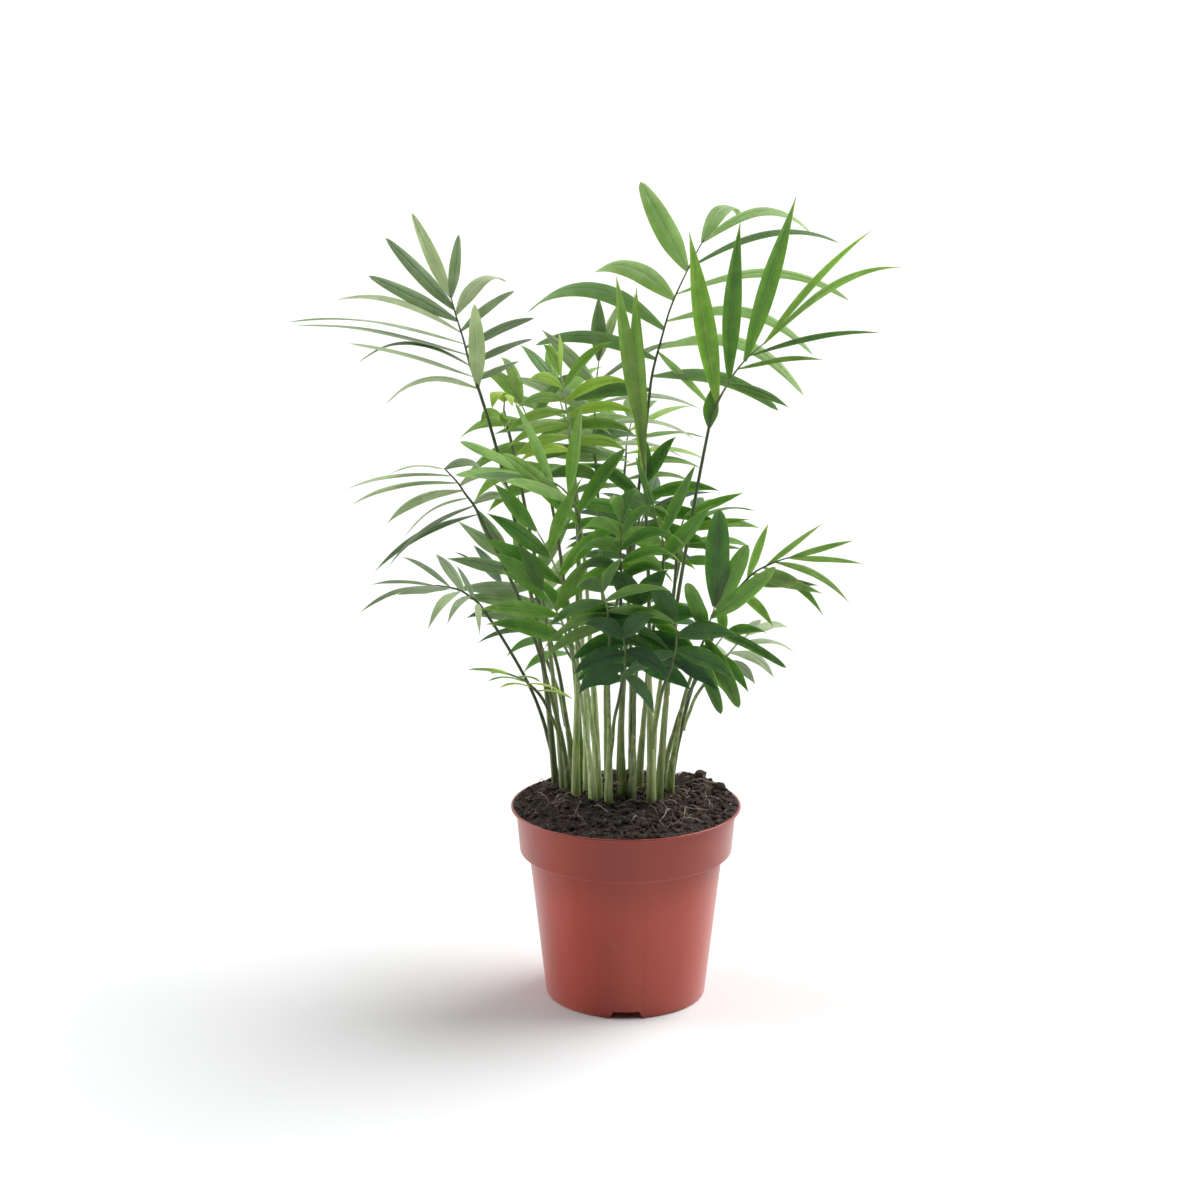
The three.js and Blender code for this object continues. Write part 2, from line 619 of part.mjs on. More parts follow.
/** A leaflet's solid, swung out of the blade's plane by some degrees. */
function swungLeaflet(leaflet, swing) {
  const { hand, along, face, open, lift, level } = leaflet;
  const out = squareTo(face, along);
  const side = out.clone().cross(along).multiplyScalar(hand);
  const a = radians(open);
  const c = radians(lift + swing);
  const direction = along.clone().multiplyScalar(Math.cos(a))
    .addScaledVector(side, Math.sin(a) * Math.cos(c))
    .addScaledVector(out, Math.sin(a) * Math.sin(c));
  const normal = out.clone().multiplyScalar(1 - level).addScaledVector(UP, level);
  return leafletSolid({ ...leaflet, direction, normal });
}

// ---- Assembly ----

/** True when two solids share more than a trace. */
function meets(a, b) {
  const boxA = a.boundingBox();
  const boxB = b.boundingBox();
  for (let i = 0; i < 3; i++) {
    if (boxA.min[i] > boxB.max[i] || boxB.min[i] > boxA.max[i]) return false;
  }
  return a.intersect(b).volume() > 1e-4;
}

const MATERIALS = {
  pot: new THREE.MeshStandardMaterial({ color: 0xa8503f, roughness: 0.45, metalness: 0 }),
  soil: new THREE.MeshStandardMaterial({ color: 0x2e2019, roughness: 0.95, metalness: 0 }),
  cane: new THREE.MeshStandardMaterial({ color: 0x8a9f52, roughness: 0.5, metalness: 0 }),
  frond: new THREE.MeshStandardMaterial({ color: 0x47752c, roughness: 0.5, metalness: 0 }),
};

const palm = new THREE.Group();

function addPiece(name, solid, material) {
  const mesh = new THREE.Mesh(toGeometry(solid), material);
  mesh.name = name;
  palm.add(mesh);
}

const pot = potSolid();
const soil = soilSolid();
addPiece('pot', pot, MATERIALS.pot);
addPiece('soil', soil, MATERIALS.soil);

const raisedSoil = soil.translate([0, 0, GAP]);
const canes = new Map();
const placed = [{ owner: 'pot', solid: pot }, { owner: 'soil', solid: soil }];

const ribRadius = (t) => mix(RIB.baseRadius, RIB.tipRadius, t);

/** A cane of its own, and the frond's rib, a little clear of the cane's end. */
function growOnCane({ name, foot: [x, y], girth = 1, base, tip }) {
  const start = new THREE.Vector3(x, y, soilHeight(x, y) - CANE.sink);
  const stalk = stalkCurve(start, vector(base));
  const caneRings = limbRings(stalk, CANE.steps, CANE.sides, (t) => caneRadius(girth, t));
  const cane = toSolid(skin(caneRings)).subtract(raisedSoil);
  canes.set(name, { curve: stalk, girth });
  addPiece(`cane_${name}`, cane, MATERIALS.cane);
  placed.push({ owner: `cane_${name}`, solid: cane });
  const rib = ribCurve(stalk, vector(tip));
  const clear = new THREE.QuadraticBezierCurve3(rib.getPoint(GAP / rib.getLength()), rib.v1, rib.v2);
  return { rib, solid: toSolid(skin(limbRings(clear, RIB.steps, RIB.sides, ribRadius))) };
}

/** A side frond's rib with its own stalk, which starts just clear of the cane that carries it. */
function growOnSide({ cane, at, base, tip }) {
  const carrier = canes.get(cane);
  const start = carrier.curve.getPoint(at);
  const away = new THREE.Vector3(base[0] - start.x, base[1] - start.y, 0).normalize();
  start.addScaledVector(away, caneRadius(carrier.girth, at) + STALK.footRadius + GAP);
  const stalk = stalkCurve(start, vector(base));
  const rib = ribCurve(stalk, vector(tip));
  const stem = limbRings(stalk, STALK.steps, RIB.sides, (t) => mix(STALK.footRadius, RIB.baseRadius, t));
  const blade = limbRings(rib, RIB.steps, RIB.sides, ribRadius);
  return { rib, solid: toSolid(skin([...stem.slice(0, -1), ...blade])) };
}

const blades = FRONDS.map((frond, index) => {
  const owner = `frond_${frond.name}`;
  const { rib, solid } = frond.foot ? growOnCane(frond) : growOnSide(frond);
  placed.push({ owner, solid });
  return { owner, solid, leaflets: leafletsOf(frond, rib, index + 1) };
});

for (const { owner, solid, leaflets } of blades) {
  let blade = solid;
  for (const leaflet of leaflets) {
    const others = placed.filter((piece) => piece.owner !== owner);
    const tries = LEAFLET.swings.map((swing) => swungLeaflet(leaflet, swing));
    const clear = tries.find((candidate) => !others.some((other) => meets(candidate, other.solid)));
    if (clear) {
      blade = blade.add(clear);
      placed.push({ owner, solid: clear });
    }
  }
  addPiece(owner, blade, MATERIALS.frond);
}

export default palm;
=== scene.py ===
"""Looks of a young parlour palm in a terracotta-coloured nursery pot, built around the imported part.

Sizes are millimetres until a mesh is made, and +Z is up. The fronds follow the part's own rule: the same
ribs and leaflets, with finer outlines, folds and midribs. Which swing a leaflet took, or whether it was
skipped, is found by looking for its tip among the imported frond's points.
"""
import math

import bmesh
import bpy
import numpy as np
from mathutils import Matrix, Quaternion, Vector, kdtree, noise


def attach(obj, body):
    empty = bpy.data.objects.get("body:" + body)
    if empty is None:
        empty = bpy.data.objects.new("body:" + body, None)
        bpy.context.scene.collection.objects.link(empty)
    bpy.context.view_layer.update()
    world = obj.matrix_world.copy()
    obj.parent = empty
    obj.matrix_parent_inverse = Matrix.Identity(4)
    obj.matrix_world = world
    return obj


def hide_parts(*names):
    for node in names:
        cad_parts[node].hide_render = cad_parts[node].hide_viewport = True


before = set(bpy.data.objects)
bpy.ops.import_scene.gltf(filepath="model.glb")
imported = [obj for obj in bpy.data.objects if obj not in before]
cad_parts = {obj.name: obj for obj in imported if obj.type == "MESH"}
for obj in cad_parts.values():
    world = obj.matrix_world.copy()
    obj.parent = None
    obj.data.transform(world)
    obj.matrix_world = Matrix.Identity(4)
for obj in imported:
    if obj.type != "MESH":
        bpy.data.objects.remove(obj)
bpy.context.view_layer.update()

MM = 0.001
SEED = 41

# ---- Camera, floor and light ----

CAMERA = {"place": (-0.0135, -1.300, 0.522), "pitch": 76.6, "lens": 78.18, "sensor": 36}
# A white sky. What it sheds and what gloss mirrors of it are each given as the strength on the near side of
# the plant, where the room is dark, and on the far side. The camera sees it overexposed, with a grain
# like the floor's between the two strengths, so that a picture is cleaned evenly in front of both.
SKY = {"seen": (1.0, 1.2), "shed": (0.03, 0.36), "mirrored": (0.05, 1.0), "fade": (-0.7, 0.5)}
SUNS = [
    # name, direction that it shines, spread in degrees, strength
    ("key_right", (-0.86, -0.4, -0.95), 54, 3.7),
    ("overhead", (0.05, 0.1, -1.0), 60, 0.6),
    ("fill_left", (0.95, -0.22, -0.28), 40, 1.9),
]
FLOOR = {"colour": (0.806, 0.82, 0.82, 1), "roughness": 0.8, "reach": 4000.0}

# ---- The part's own rules and list of fronds, repeated ----

# How a leaflet grows: see leaflet_specs and leaflet_line.
LEAFLET = {
    "width": 8.5, "lift": 10, "widest": 0.42, "root_share": 0.2, "bends": 12, "sag": 1.5,
    "span": (0.03, 0.985), "open_chance": 8, "lift_chance": 10, "droop_chance": 0.3, "short": 36,
}
SWINGS = (0, 9, -9, 18, -18)
RIB_STEPS = 4
RIB_ARCH = 0.5
CANE = {"foot": 2.1, "neck": 0.95, "taper_end": 0.4, "taper": 0.65, "lean": 0.15, "rise": 0.5, "sink": 4}
STALK_FOOT = 1.0
GAP = 0.3
POT = {
    "height": 103, "rim": 60, "lip": 1.3, "lip_width": 1.4, "flare": 3.4, "collar": 57.4,
    "collar_foot": 55.4, "collar_height": 24.6, "neck": 50.7, "base": 42, "wall": 1.3,
}
DRAIN = {"channels": 3, "width": 17.4, "top_width": 13.4, "height": 3.8, "inner": 20}
SOIL = {"edge_depth": 0.6, "mound": 6, "lump": 1.2}
SOIL_WAVES = ((0.21, 1.3), (0.17, 0.4), (0.43, -0.36))
SOIL_HEAPS = ((38, 31, 13, 3.5), (-30, 37, 11, 1.8))  # x, y, radius and height


def fan(count, reach):
    """Leaflet lengths of an ordinary frond: longest about the middle."""
    return [
        math.floor(reach * (0.7 + 0.3 * math.sin(math.pi * (i + 0.7) / (count + 0.2))) + 0.5)
        for i in range(count)
    ]


def row(lengths, opens, droop, level, width=LEAFLET["width"], **more):
    """The leaflets on one side of a frond. Most values are one for all, one for each, or first and last."""
    own = {"lengths": lengths, "open": opens, "droop": droop, "level": level, "width": width}
    return {"lift": LEAFLET["lift"], "span": LEAFLET["span"], **own, **more}


def grow(name, start, base, tip, left, right=None, **more):
    """A frond with its two rows, alike where only one is given.

    start is a cane's foot on the soil, or whose cane its stalk leaves and how far up.
    """
    rows = {"left": left, "right": right or left}
    return {"name": name, "start": start, "base": base, "tip": tip, **rows, **more}


FRONDS = [
    grow(
        "top_left", [-37, 26], [-75, 10, 319], [-89, 18, 366],
        row(
            [52, 68, 62, 88, 90, 66, 50, 50, 49], [50, 52, 46, 57, 54, 44, 43, 32, 9],
            [1.5, 0.25, 1.3, 0.4, 0.6, 0.7, 0.1, 0, 0], [0.7, 0.7, 0.7, 0.7, 0.7, 0.6, 0.2, 0.1, 0.1],
            [7, 4, 5, 5, 5.5, 5, 8, 8, 7.5],
        ),
        row(
            [24, 34, 38, 34, 37, 33], [84, 78, 74, 64, 46, 22], [0.2, 0.4, 0.4, 0.5, 1.5, 0], 0.5,
            [4.5, 5, 5.5, 6, 8, 6.5],
        ),
        girth=0.75, face=[-90, 35],
        stray={"length": 46, "open": 20, "lift": 135, "droop": 0, "level": 0, "width": 9.5},
    ),
    grow(
        "top_centre", [-3, 34], [12, 29, 314], [40, 52, 391],
        row(
            [42, 68, 87, 52, 55, 47], [96, 78, 68, 66, 49, 6], [0.5, 0.9, 1.6, 1.2, 0, 1.7], 0.2,
            [8, 8, 10, 12, 12.5, 9],
        ),
        row(
            [74, 92, 84, 94, 82, 70], [74, 67, 62, 56, 38, 24], [1, 1.75, 1.6, 1.05, 0.95, 1.5], 0.5,
            [8, 9, 7.5, 6.5, 6, 7.5],
        ),
        girth=0.9, face=[-110, 25],
        stray={
            "hand": -1, "t": 0.27, "length": 42, "open": 118, "lift": 10, "droop": 0.2, "level": 0.2,
            "width": 4.5,
        },
    ),
    grow(
        "top_right", [17, -5], [41, -6, 301], [68, -22, 348],
        row([22, 91, 84, 94, 90], [8, 29, 27, 24, 13], [0, 0, 0, 0, 0.35], 0.2, [8, 11, 10.5, 9.5, 4]),
        row(
            [34, 48, 75, 90], [66, 28, 24, -3], [0.5, 0.5, 0.45, 0.75], 0.6, [6, 4, 4.5, 6],
            span=[0.4, 0.985],
        ),
        girth=0.95, face=[-90, 10],
    ),
    grow(
        "spear", [13, -15], [9, -18, 278], [7.5, -20, 300],
        row([92, 84], [3, 2], [0, 0], 0, [7, 8], lift=0), row([90, 74], [2, 1], [0, 0], 0, 7, lift=0),
        girth=1.1, face=[-90, 0],
    ),
    grow(
        "left_outer", [-29, 8], [-75, 2, 256], [-92, -6, 282],
        row(
            [62, 56, 42, 46, 60, 62, 36], [72, 70, 60, 54, 46, 38, 24], [1, 1.1, 1.3, 1, 0.8, 0.6, 0.7],
            0.8, [5, 5, 4.5, 7, 5.5, 5, 4],
        ),
        row([30, 34, 32], [85, 105], [2.4, 3], 0.6, 6.5), girth=0.7, face=[-98, 32],
    ),
    grow(
        "lower_left", [-36, 38], [-76, 8, 208], [-98, 0, 220],
        row(
            [34, 42, 46, 36, 44], [62, 56, 48, 34, 14], [1.2, 1, 1.1, 0.3, 0.9], 0.8, [4, 4.5, 5, 9, 4.5],
        ),
        row([26, 32, 34, 34], [64, 14], 0.5, 0.8, [5, 8, 5, 4.5]), girth=0.6, face=[-120, 65],
    ),
    grow(
        "outer_right", [24, 24], [55, 8, 212], [83, -2, 235],
        row([28, 32, 38, 36], [44, 30, 14, 6], [0.2, 0], 0.3, [6, 4]),
        row(
            [28, 44, 45, 46, 50, 42], [78, 42, 44, 46, 30, 14], [0.8, 0.2, 0.2, 1.2, 1, 0.3], 0.3,
            [6, 6.5, 6.5, 5, 4.5, 4],
        ),
        girth=0.7, face=[-85, 40],
    ),
    grow(
        "right_broad", [23, 6], [35, -34, 190], [43, -54, 222],
        row([30, 34, 58], [60, 32, 12], [0.4, 0], 0.2, [9, 10, 14]),
        row(
            [34, 22, 40, 46, 54, 44], [140, 108, 124, 78, 27, 9], [0.2, 0.1, 0.2, 0.4, 0, 0], 0.3,
            [8, 8, 9, 5.5, 10, 11],
        ),
        face=[-95, 30],
    ),
    grow(
        "left_bright", [-26, -2], [-24, -22, 256], [-49, -40, 286],
        row([68, 61, 58, 46], [34, 12], [0.35, 0.15], 0.4, 10),
        row([40, 44, 44, 40], [60, 16], [0.4, 0.2], 0.3, 9), face=[-70, 45],
    ),
    grow(
        "small_left", [-33, 15], [-61, 14, 300], [-62, 8, 314], row([15, 17], [30, 8], 2.4, 0.2, 7),
        row([20, 26, 24], [60, 14], [2.4, 2.7], 0.2, 8), girth=0.7,
    ),
    grow(
        "centre_lime", [-20, 4], [-28, 4, 288], [-33, -8, 330],
        row(fan(7, 40), [74, 8], [1, 0.7], 0.3, 5.5), row(fan(6, 38), [85, 12], [1.2, 0.8], 0.3, 6),
        face=[-75, 45],
    ),
    grow(
        "centre_grey", [-9, 21], [-16, 36, 278], [-14, 46, 330],
        row([40, 44, 44, 40, 34], [75, 10], [0.5, 0.1], 0.2),
        row([50, 58, 58, 50, 36], [80, 10], [1.2, 0.5], 0.8, 6.5), face=[-80, 30],
    ),
    grow(
        "centre_left", [-23, 24], [-40, 24, 266], [-54, 34, 308],
        row(fan(5, 44), [80, 10], [1.7, 1.2], 0.3, 7), face=[-110, 45],
    ),
    grow(
        "centre_front", [-14, -4], [-28, -26, 212], [-45, -42, 258],
        row([50, 54, 46, 36], [34, 8], [0.4, 0.15], 0.3, 9),
        row([44, 48, 44, 34], [56, 14], [1, 0.4], 0.3, 8), face=[-95, 40],
    ),
    grow(
        "centre_low", [-2, -6], [-3, -32, 226], [-3, -48, 264],
        row(fan(5, 38), [50, 8], [2, 1.3], 0.2, 7), face=[-80, 30],
    ),
    grow(
        "curl", [7, 8], [18, -16, 230], [14, -30, 262], row([28, 32, 34], [50, 10], [1.2, 0.9], 0.3, 9),
        row([40, 44, 40], [34, 6], [0.2, 0.1], 0.2, [10, 4.5]), face=[-80, 25],
    ),
    grow(
        "rosette", [-9, -16], [-9, -44, 202], [-12, -64, 232],
        row(fan(5, 37), [95, 24], [1.1, 0.7], 0.1, 8), face=[-92, 35],
    ),
    grow(
        "lower_dark", [3, -6], [5, -26, 180], [6, -42, 220], row(fan(5, 36), [95, 26], [1.1, 0.6], 0.1, 12),
        face=[-88, 25],
    ),
    grow(
        "right_drop", [19, 14], [37, -12, 176], [49, -24, 200],
        row(fan(3, 28), [105, 30], [1.2, 0.8], 0.1, 6.5), face=[-70, 35],
    ),
    grow(
        "left_sweep", [-17, -12], [-29, -34, 198], [-42, -44, 228],
        row([46, 44, 34], [44, 12], [0.6, 0.3], 0.2, 8.5), row([34, 38, 30], [58, 14], [1, 0.5], 0.2, 8),
        face=[-100, 35],
    ),
    grow(
        "left_rear", [-28, 34], [-42, 44, 190], [-62, 54, 222], row(fan(5, 44), [65, 12], [0.3, 0.1], 0.2),
        face=[-100, 40],
    ),
    grow(
        "rear_centre", [4, 40], [0, 74, 256], [4, 106, 288], row(fan(6, 46), [80, 16], [1, 0.7], 0.7, 7),
    ),
    grow(
        "rear_left", [-15, 38], [-27, 60, 268], [-38, 84, 312], row(fan(6, 44), [80, 16], [0.9, 0.7], 0.5),
    ),
    grow(
        "rear_right", [14, 35], [28, 62, 214], [40, 96, 240], row(fan(5, 40), [80, 16], [0.9, 0.7], 0.5),
    ),
    grow(
        "left_low", ["left_outer", 0.18], [-46, -15, 168], [-61, -32, 182],
        row(fan(4, 26), [85, 24], [0.9, 0.6], 0.5, 5.5),
    ),
    grow(
        "rear_low", ["rear_centre", 0.25], [8, 66, 172], [14, 98, 188],
        row(fan(4, 36), [85, 20], [1.2, 0.9], 0.5),
    ),
    grow(
        "rear_low_left", ["rear_left", 0.25], [-30, 60, 168], [-44, 88, 184],
        row(fan(4, 36), [85, 20], [1.2, 0.9], 0.5),
    ),
    grow(
        "right_rear_low", ["outer_right", 0.3], [48, 38, 166], [66, 56, 180],
        row(fan(4, 34), [85, 20], [1.4, 1], 0.5),
    ),
    grow(
        "right_upper", ["top_right", 0.3], [26, 8, 234], [30, 5, 256], row([24, 40], [34, 3], 0, 0.3, 4.5),
        row([34, 36, 38], [76, 62, 42], [0.3, 0.1], 0.3, [4, 5]), face=[-85, 25],
    ),
    grow(
        "centre_rear", ["top_centre", 0.35], [4, 58, 220], [14, 90, 246],
        row(fan(5, 42), [80, 16], [0.9, 0.7], 0.5),
    ),
    grow(
        "left_back", ["left_rear", 0.35], [-50, 74, 178], [-68, 94, 200],
        row(fan(4, 38), [80, 16], [0.9, 0.6], 0.5),
    ),
    grow(
        "front_low", ["spear", 0.2], [22, -42, 188], [24, -52, 214],
        row(fan(4, 33), [90, 24], [1, 0.7], 0.1, 10.5), face=[-86, 30],
    ),
    grow(
        "front_low_left", ["rosette", 0.25], [-2, -46, 182], [-2, -56, 207],
        row(fan(4, 29), [105, 40], [1.5, 1.1], 0.1, 10.5), face=[-94, 30],
    ),
    grow(
        "centre_inner", ["centre_grey", 0.4], [2, 18, 234], [10, 8, 272],
        row(fan(5, 44), [80, 12], [1, 0.6], 0.3, 7.5), face=[-80, 30],
    ),
]

# ---- What each frond looks like ----

# Plain base colours, dealt out by frond: colour, colour of the midrib and tip, and the fronds. The two
# darkest kinds are painted shade on fronds low in, inside and at the back of the crown; sage is partly a
# painted grey sheen, and lime partly paints light shining through the leaflets.
FOLIAGE = {
    # Partly painted light: the lime of these leaflets, brightened to paint light shining through them.
    "lime": ("#94b844", "#b6cc6c", ["centre_lime", "small_left", "left_low"]),
    "spear": ("#b0da5c", "#cfe88c", ["spear"]),
    "vivid": ("#6a9434", "#9ab65e", ["top_right", "right_upper"]),
    "soft": ("#7fa35e", "#a6c08c", ["top_centre"]),
    "fresh": ("#789c4a", "#a8be76", ["centre_left", "outer_right", "rear_centre"]),
    "mid": ("#5a8432", "#8cac62",
            ["left_bright", "centre_front", "centre_low", "left_sweep", "centre_inner", "rear_left",
             "rear_right", "rear_low_left", "curl", "right_drop"]),
    # Painted shade: a darker copy for fronds low in the crown.
    "shade": ("#4c6c30", "#7a9658", ["right_broad", "rosette"]),
    # Painted shade: the darkest copy, for fronds low in, inside and at the back of the crown.
    "deep": ("#284c22", "#4e6e40",
             ["lower_dark", "front_low", "front_low_left", "centre_rear", "rear_low", "left_back"]),
    # Partly painted sheen: a grey-green that paints the grey sheen on these outer fronds.
    "sage": ("#a1b08c", "#c3ceb4",
             ["top_left", "left_outer", "lower_left", "centre_grey", "left_rear", "right_rear_low"]),
}
# How pointed leaflets are: under 1 is blunter
TIP_POWER = 1.05
BLUNT = {
    "right_broad": 0.45, "left_bright": 0.6, "curl": 0.8, "top_centre": 0.5, "top_left": 0.6, "spear": 0.9,
}
# Outer stalks are bare and dark from low down, and canes in the middle of the clump are darkened as painted
# shade: 0 is a pale sheathed cane, 1 a dark stalk.
DARK_AND_SHADED_STALKS = {
    "top_left": 0.75, "left_outer": 0.8, "lower_left": 0.8, "small_left": 0.6, "outer_right": 0.7,
    "top_right": 0.35, "right_drop": 0.5, "left_rear": 0.6, "top_centre": 0.45, "spear": 0.15,
    "centre_low": 0.4, "lower_dark": 0.5, "curl": 0.4, "rosette": 0.2, "rear_centre": 0.5,
}

# ---- Shared maths ----

UP = np.array([0.0, 0.0, 1.0])


def vec(values):
    return np.array(values, float)


def unit(v):
    return v / np.linalg.norm(v)


def square_to(v, axis):
    """The part of v that is square to the unit vector axis, made a unit vector."""
    return unit(v - axis * np.dot(v, axis))


def mix(a, b, t):
    return a + (b - a) * t


def smooth(t):
    t = np.clip(t, 0.0, 1.0)
    return t * t * (3 - 2 * t)


def heading(azimuth, elevation):
    a, e = math.radians(azimuth), math.radians(elevation)
    return vec([math.cos(a) * math.cos(e), math.sin(a) * math.cos(e), math.sin(e)])


def linear(text):
    """A colour written as in a web page, as linear RGBA."""
    parts = [int(text[i:i + 2], 16) / 255 for i in (1, 3, 5)]
    return [p / 12.92 if p <= 0.04045 else ((p + 0.055) / 1.055) ** 2.4 for p in parts] + [1.0]


def draws(seed):
    """The part's own repeatable random numbers."""
    state = seed * 7919 + 17
    while True:
        state = (state * 1664525 + 1013904223) % 4294967296
        yield state / 4294967296


class Bezier:
    """A quadratic curve through three control points."""

    def __init__(self, a, b, c):
        self.a, self.b, self.c = a, b, c

    def point(self, t):
        return (1 - t) ** 2 * self.a + 2 * (1 - t) * t * self.b + t * t * self.c

    def tangent(self, t):
        return unit(2 * (1 - t) * (self.b - self.a) + 2 * t * (self.c - self.b))

    def chord(self, steps, t):
        low = min(steps - 1, int(t * steps))
        return mix(self.point(low / steps), self.point((low + 1) / steps), t * steps - low)


def soil_height(x, y):
    """The part's rule for the height of the soil, repeated."""
    out = min(1.0, math.hypot(x, y) / (POT["rim"] - POT["lip_width"]))
    (ax, ap), (by, bp), (cx, cy) = SOIL_WAVES
    broad = math.sin(ax * x + ap) * math.cos(by * y + bp)
    fine = 0.6 * math.sin(cx * x + cy * y)
    heaped = sum(
        height * math.exp(-2 * ((x - hx) ** 2 + (y - hy) ** 2) / radius ** 2)
        for hx, hy, radius, height in SOIL_HEAPS
    )
    lumps = SOIL["lump"] * (broad + fine) * (1 - out ** 3)
    return POT["height"] - SOIL["edge_depth"] + SOIL["mound"] * (1 - out * out) + lumps + heaped


def make_object(name, points, faces, smooth_angle=50, attributes=None, uvs=None, material=None):
    """A mesh object from points in millimetres. attributes are one number per point, uvs a pair."""
    mesh = bpy.data.meshes.new(name)
    points = np.asarray(points, np.float32) * MM
    faces = faces.tolist() if isinstance(faces, np.ndarray) else faces
    mesh.from_pydata(points.tolist(), [], faces, shade_flat=False)
    for key, values in (attributes or {}).items():
        layer = mesh.attributes.new(key, "FLOAT", "POINT")
        layer.data.foreach_set("value", np.asarray(values, np.float32))
    if uvs is not None:
        index = np.zeros(len(mesh.loops), np.int32)
        mesh.loops.foreach_get("vertex_index", index)
        layer = mesh.uv_layers.new(name=UV_MAP)
        layer.data.foreach_set("uv", np.asarray(uvs, np.float32)[index].ravel())
    mesh.set_sharp_from_angle(angle=math.radians(smooth_angle))
    if material:
        mesh.materials.append(material)
    mesh.validate()
    obj = bpy.data.objects.new(name, mesh)
    bpy.context.scene.collection.objects.link(obj)
    return obj


class Collector:
    """Gathers many small meshes with faces of one kind into one mesh."""

    def __init__(self):
        self.points, self.faces, self.count = [], [], 0
        self.uvs, self.attributes = [], {}

    def add(self, points, faces, uvs=None, **attributes):
        self.points.append(points)
        self.faces.append(faces + self.count)
        if uvs is not None:
            self.uvs.append(uvs)
        for key, value in attributes.items():
            values = np.broadcast_to(np.asarray(value, float), (len(points),))
            self.attributes.setdefault(key, []).append(values)
        self.count += len(points)

    def build(self, name, smooth_angle, material):
        attributes = {key: np.concatenate(values) for key, values in self.attributes.items()}
        uvs = np.concatenate(self.uvs) if self.uvs else None
        points, faces = np.concatenate(self.points), np.concatenate(self.faces)
        return make_object(name, points, faces, smooth_angle, attributes, uvs, material)


def tube_faces(rings, sides):
    """Quads of an open tube, ring after ring."""
    k = np.arange(rings - 1)[:, None] * sides
    i = np.arange(sides)
    j = (i + 1) % sides
    return np.stack([k + i, k + j, k + sides + j, k + sides + i], -1).reshape(-1, 4)


def closed_tube(rings, sides):
    """Quads of a tube with closed ends; sides has to be even."""
    k = np.arange(0, sides - 2, 2)
    low = np.stack([0 * k, sides - 1 - k, sides - 2 - k, sides - 3 - k], -1)
    high = np.stack([0 * k, k + 1, k + 2, k + 3], -1) + (rings - 1) * sides
    return np.vstack([tube_faces(rings, sides), low, high])


def tube_points(line, across, third, reach, sides):
    """Points of a tube about a line. reach is the radius of each ring, or of each of its points."""
    angle = 2 * math.pi * np.arange(sides) / sides
    turn = across[:, None] * np.cos(angle)[:, None] + third[:, None] * np.sin(angle)[:, None]
    return (line[:, None] + reach[..., None] * turn).reshape(-1, 3)


# ---- Materials ----

UV_MAP = "across_along"


class Nodes:
    """The node tree of a material or a world, with short ways to add to it."""

    def __init__(self, owner):
        owner.use_nodes = True
        self.owner, self.tree = owner, owner.node_tree

    def fill(self, node, inputs):
        """Inputs by index, or by name with _ for each blank. Text is a colour as in a web page."""
        for key, value in inputs.items():
            socket = node.inputs[key.replace("_", " ") if isinstance(key, str) else key]
            if isinstance(value, bpy.types.NodeSocket):
                self.tree.links.new(value, socket)
            else:
                socket.default_value = linear(value) if isinstance(value, str) else value
        return node

    def add(self, kind, settings=None, **inputs):
        node = self.tree.nodes.new("ShaderNode" + kind)
        for key, value in (settings or {}).items():
            setattr(node, key, value)
        return self.fill(node, inputs)

    def maths(self, operation, a, b=0):
        node = self.add("Math", {"operation": operation})
        return self.fill(node, {0: a, 1: b}).outputs[0]

    def ramp(self, value, low, high, to_low=0, to_high=1):
        """value from low to high, made to_low to to_high with a soft start and end."""
        node = self.add("MapRange", {"interpolation_type": "SMOOTHSTEP"}, Value=value)
        ends = {"From Min": low, "From Max": high, "To Min": to_low, "To Max": to_high}
        return self.fill(node, ends).outputs["Result"]

    def blend(self, factor, a, b):
        node = self.add("Mix", {"data_type": "RGBA"})
        return self.fill(node, {0: factor, 6: a, 7: b}).outputs[2]

    def attribute(self, name):
        return self.add("Attribute", {"attribute_name": name}).outputs["Fac"]

    def place(self):
        return self.add("TexCoord").outputs["Object"]

    def height(self):
        return self.add("SeparateXYZ", Vector=self.place()).outputs["Z"]

    def noise(self, scale, detail=2, stretch=None, rough=0.5):
        place = self.place()
        if stretch:
            place = self.add("Mapping", Vector=place, Scale=stretch).outputs["Vector"]
        node = self.add("TexNoise", Vector=place, Scale=scale, Detail=detail, Roughness=rough)
        return node.outputs["Fac"]


class Paint(Nodes):
    """A material with the principled shader."""

    def __init__(self, name, colour, roughness):
        super().__init__(bpy.data.materials.new(name))
        self.shade(Base_Color=colour, Roughness=roughness)

    def shade(self, **inputs):
        self.fill(self.tree.nodes["Principled BSDF"], inputs)

    def bump(self, height, distance, strength=1):
        node = self.add("Bump", Height=height, Distance=distance, Strength=strength)
        self.shade(Normal=node.outputs["Normal"])

    def tinted(self, colour, **ranges):
        """The base colour, with the qualities named in ranges moved by the mesh's tint."""
        node = self.add("HueSaturation", Color=colour)
        tint = self.attribute("tint")
        self.fill(node, {key: self.ramp(tint, 0, 1, *ends) for key, ends in ranges.items()})
        self.shade(Base_Color=node.outputs["Color"])


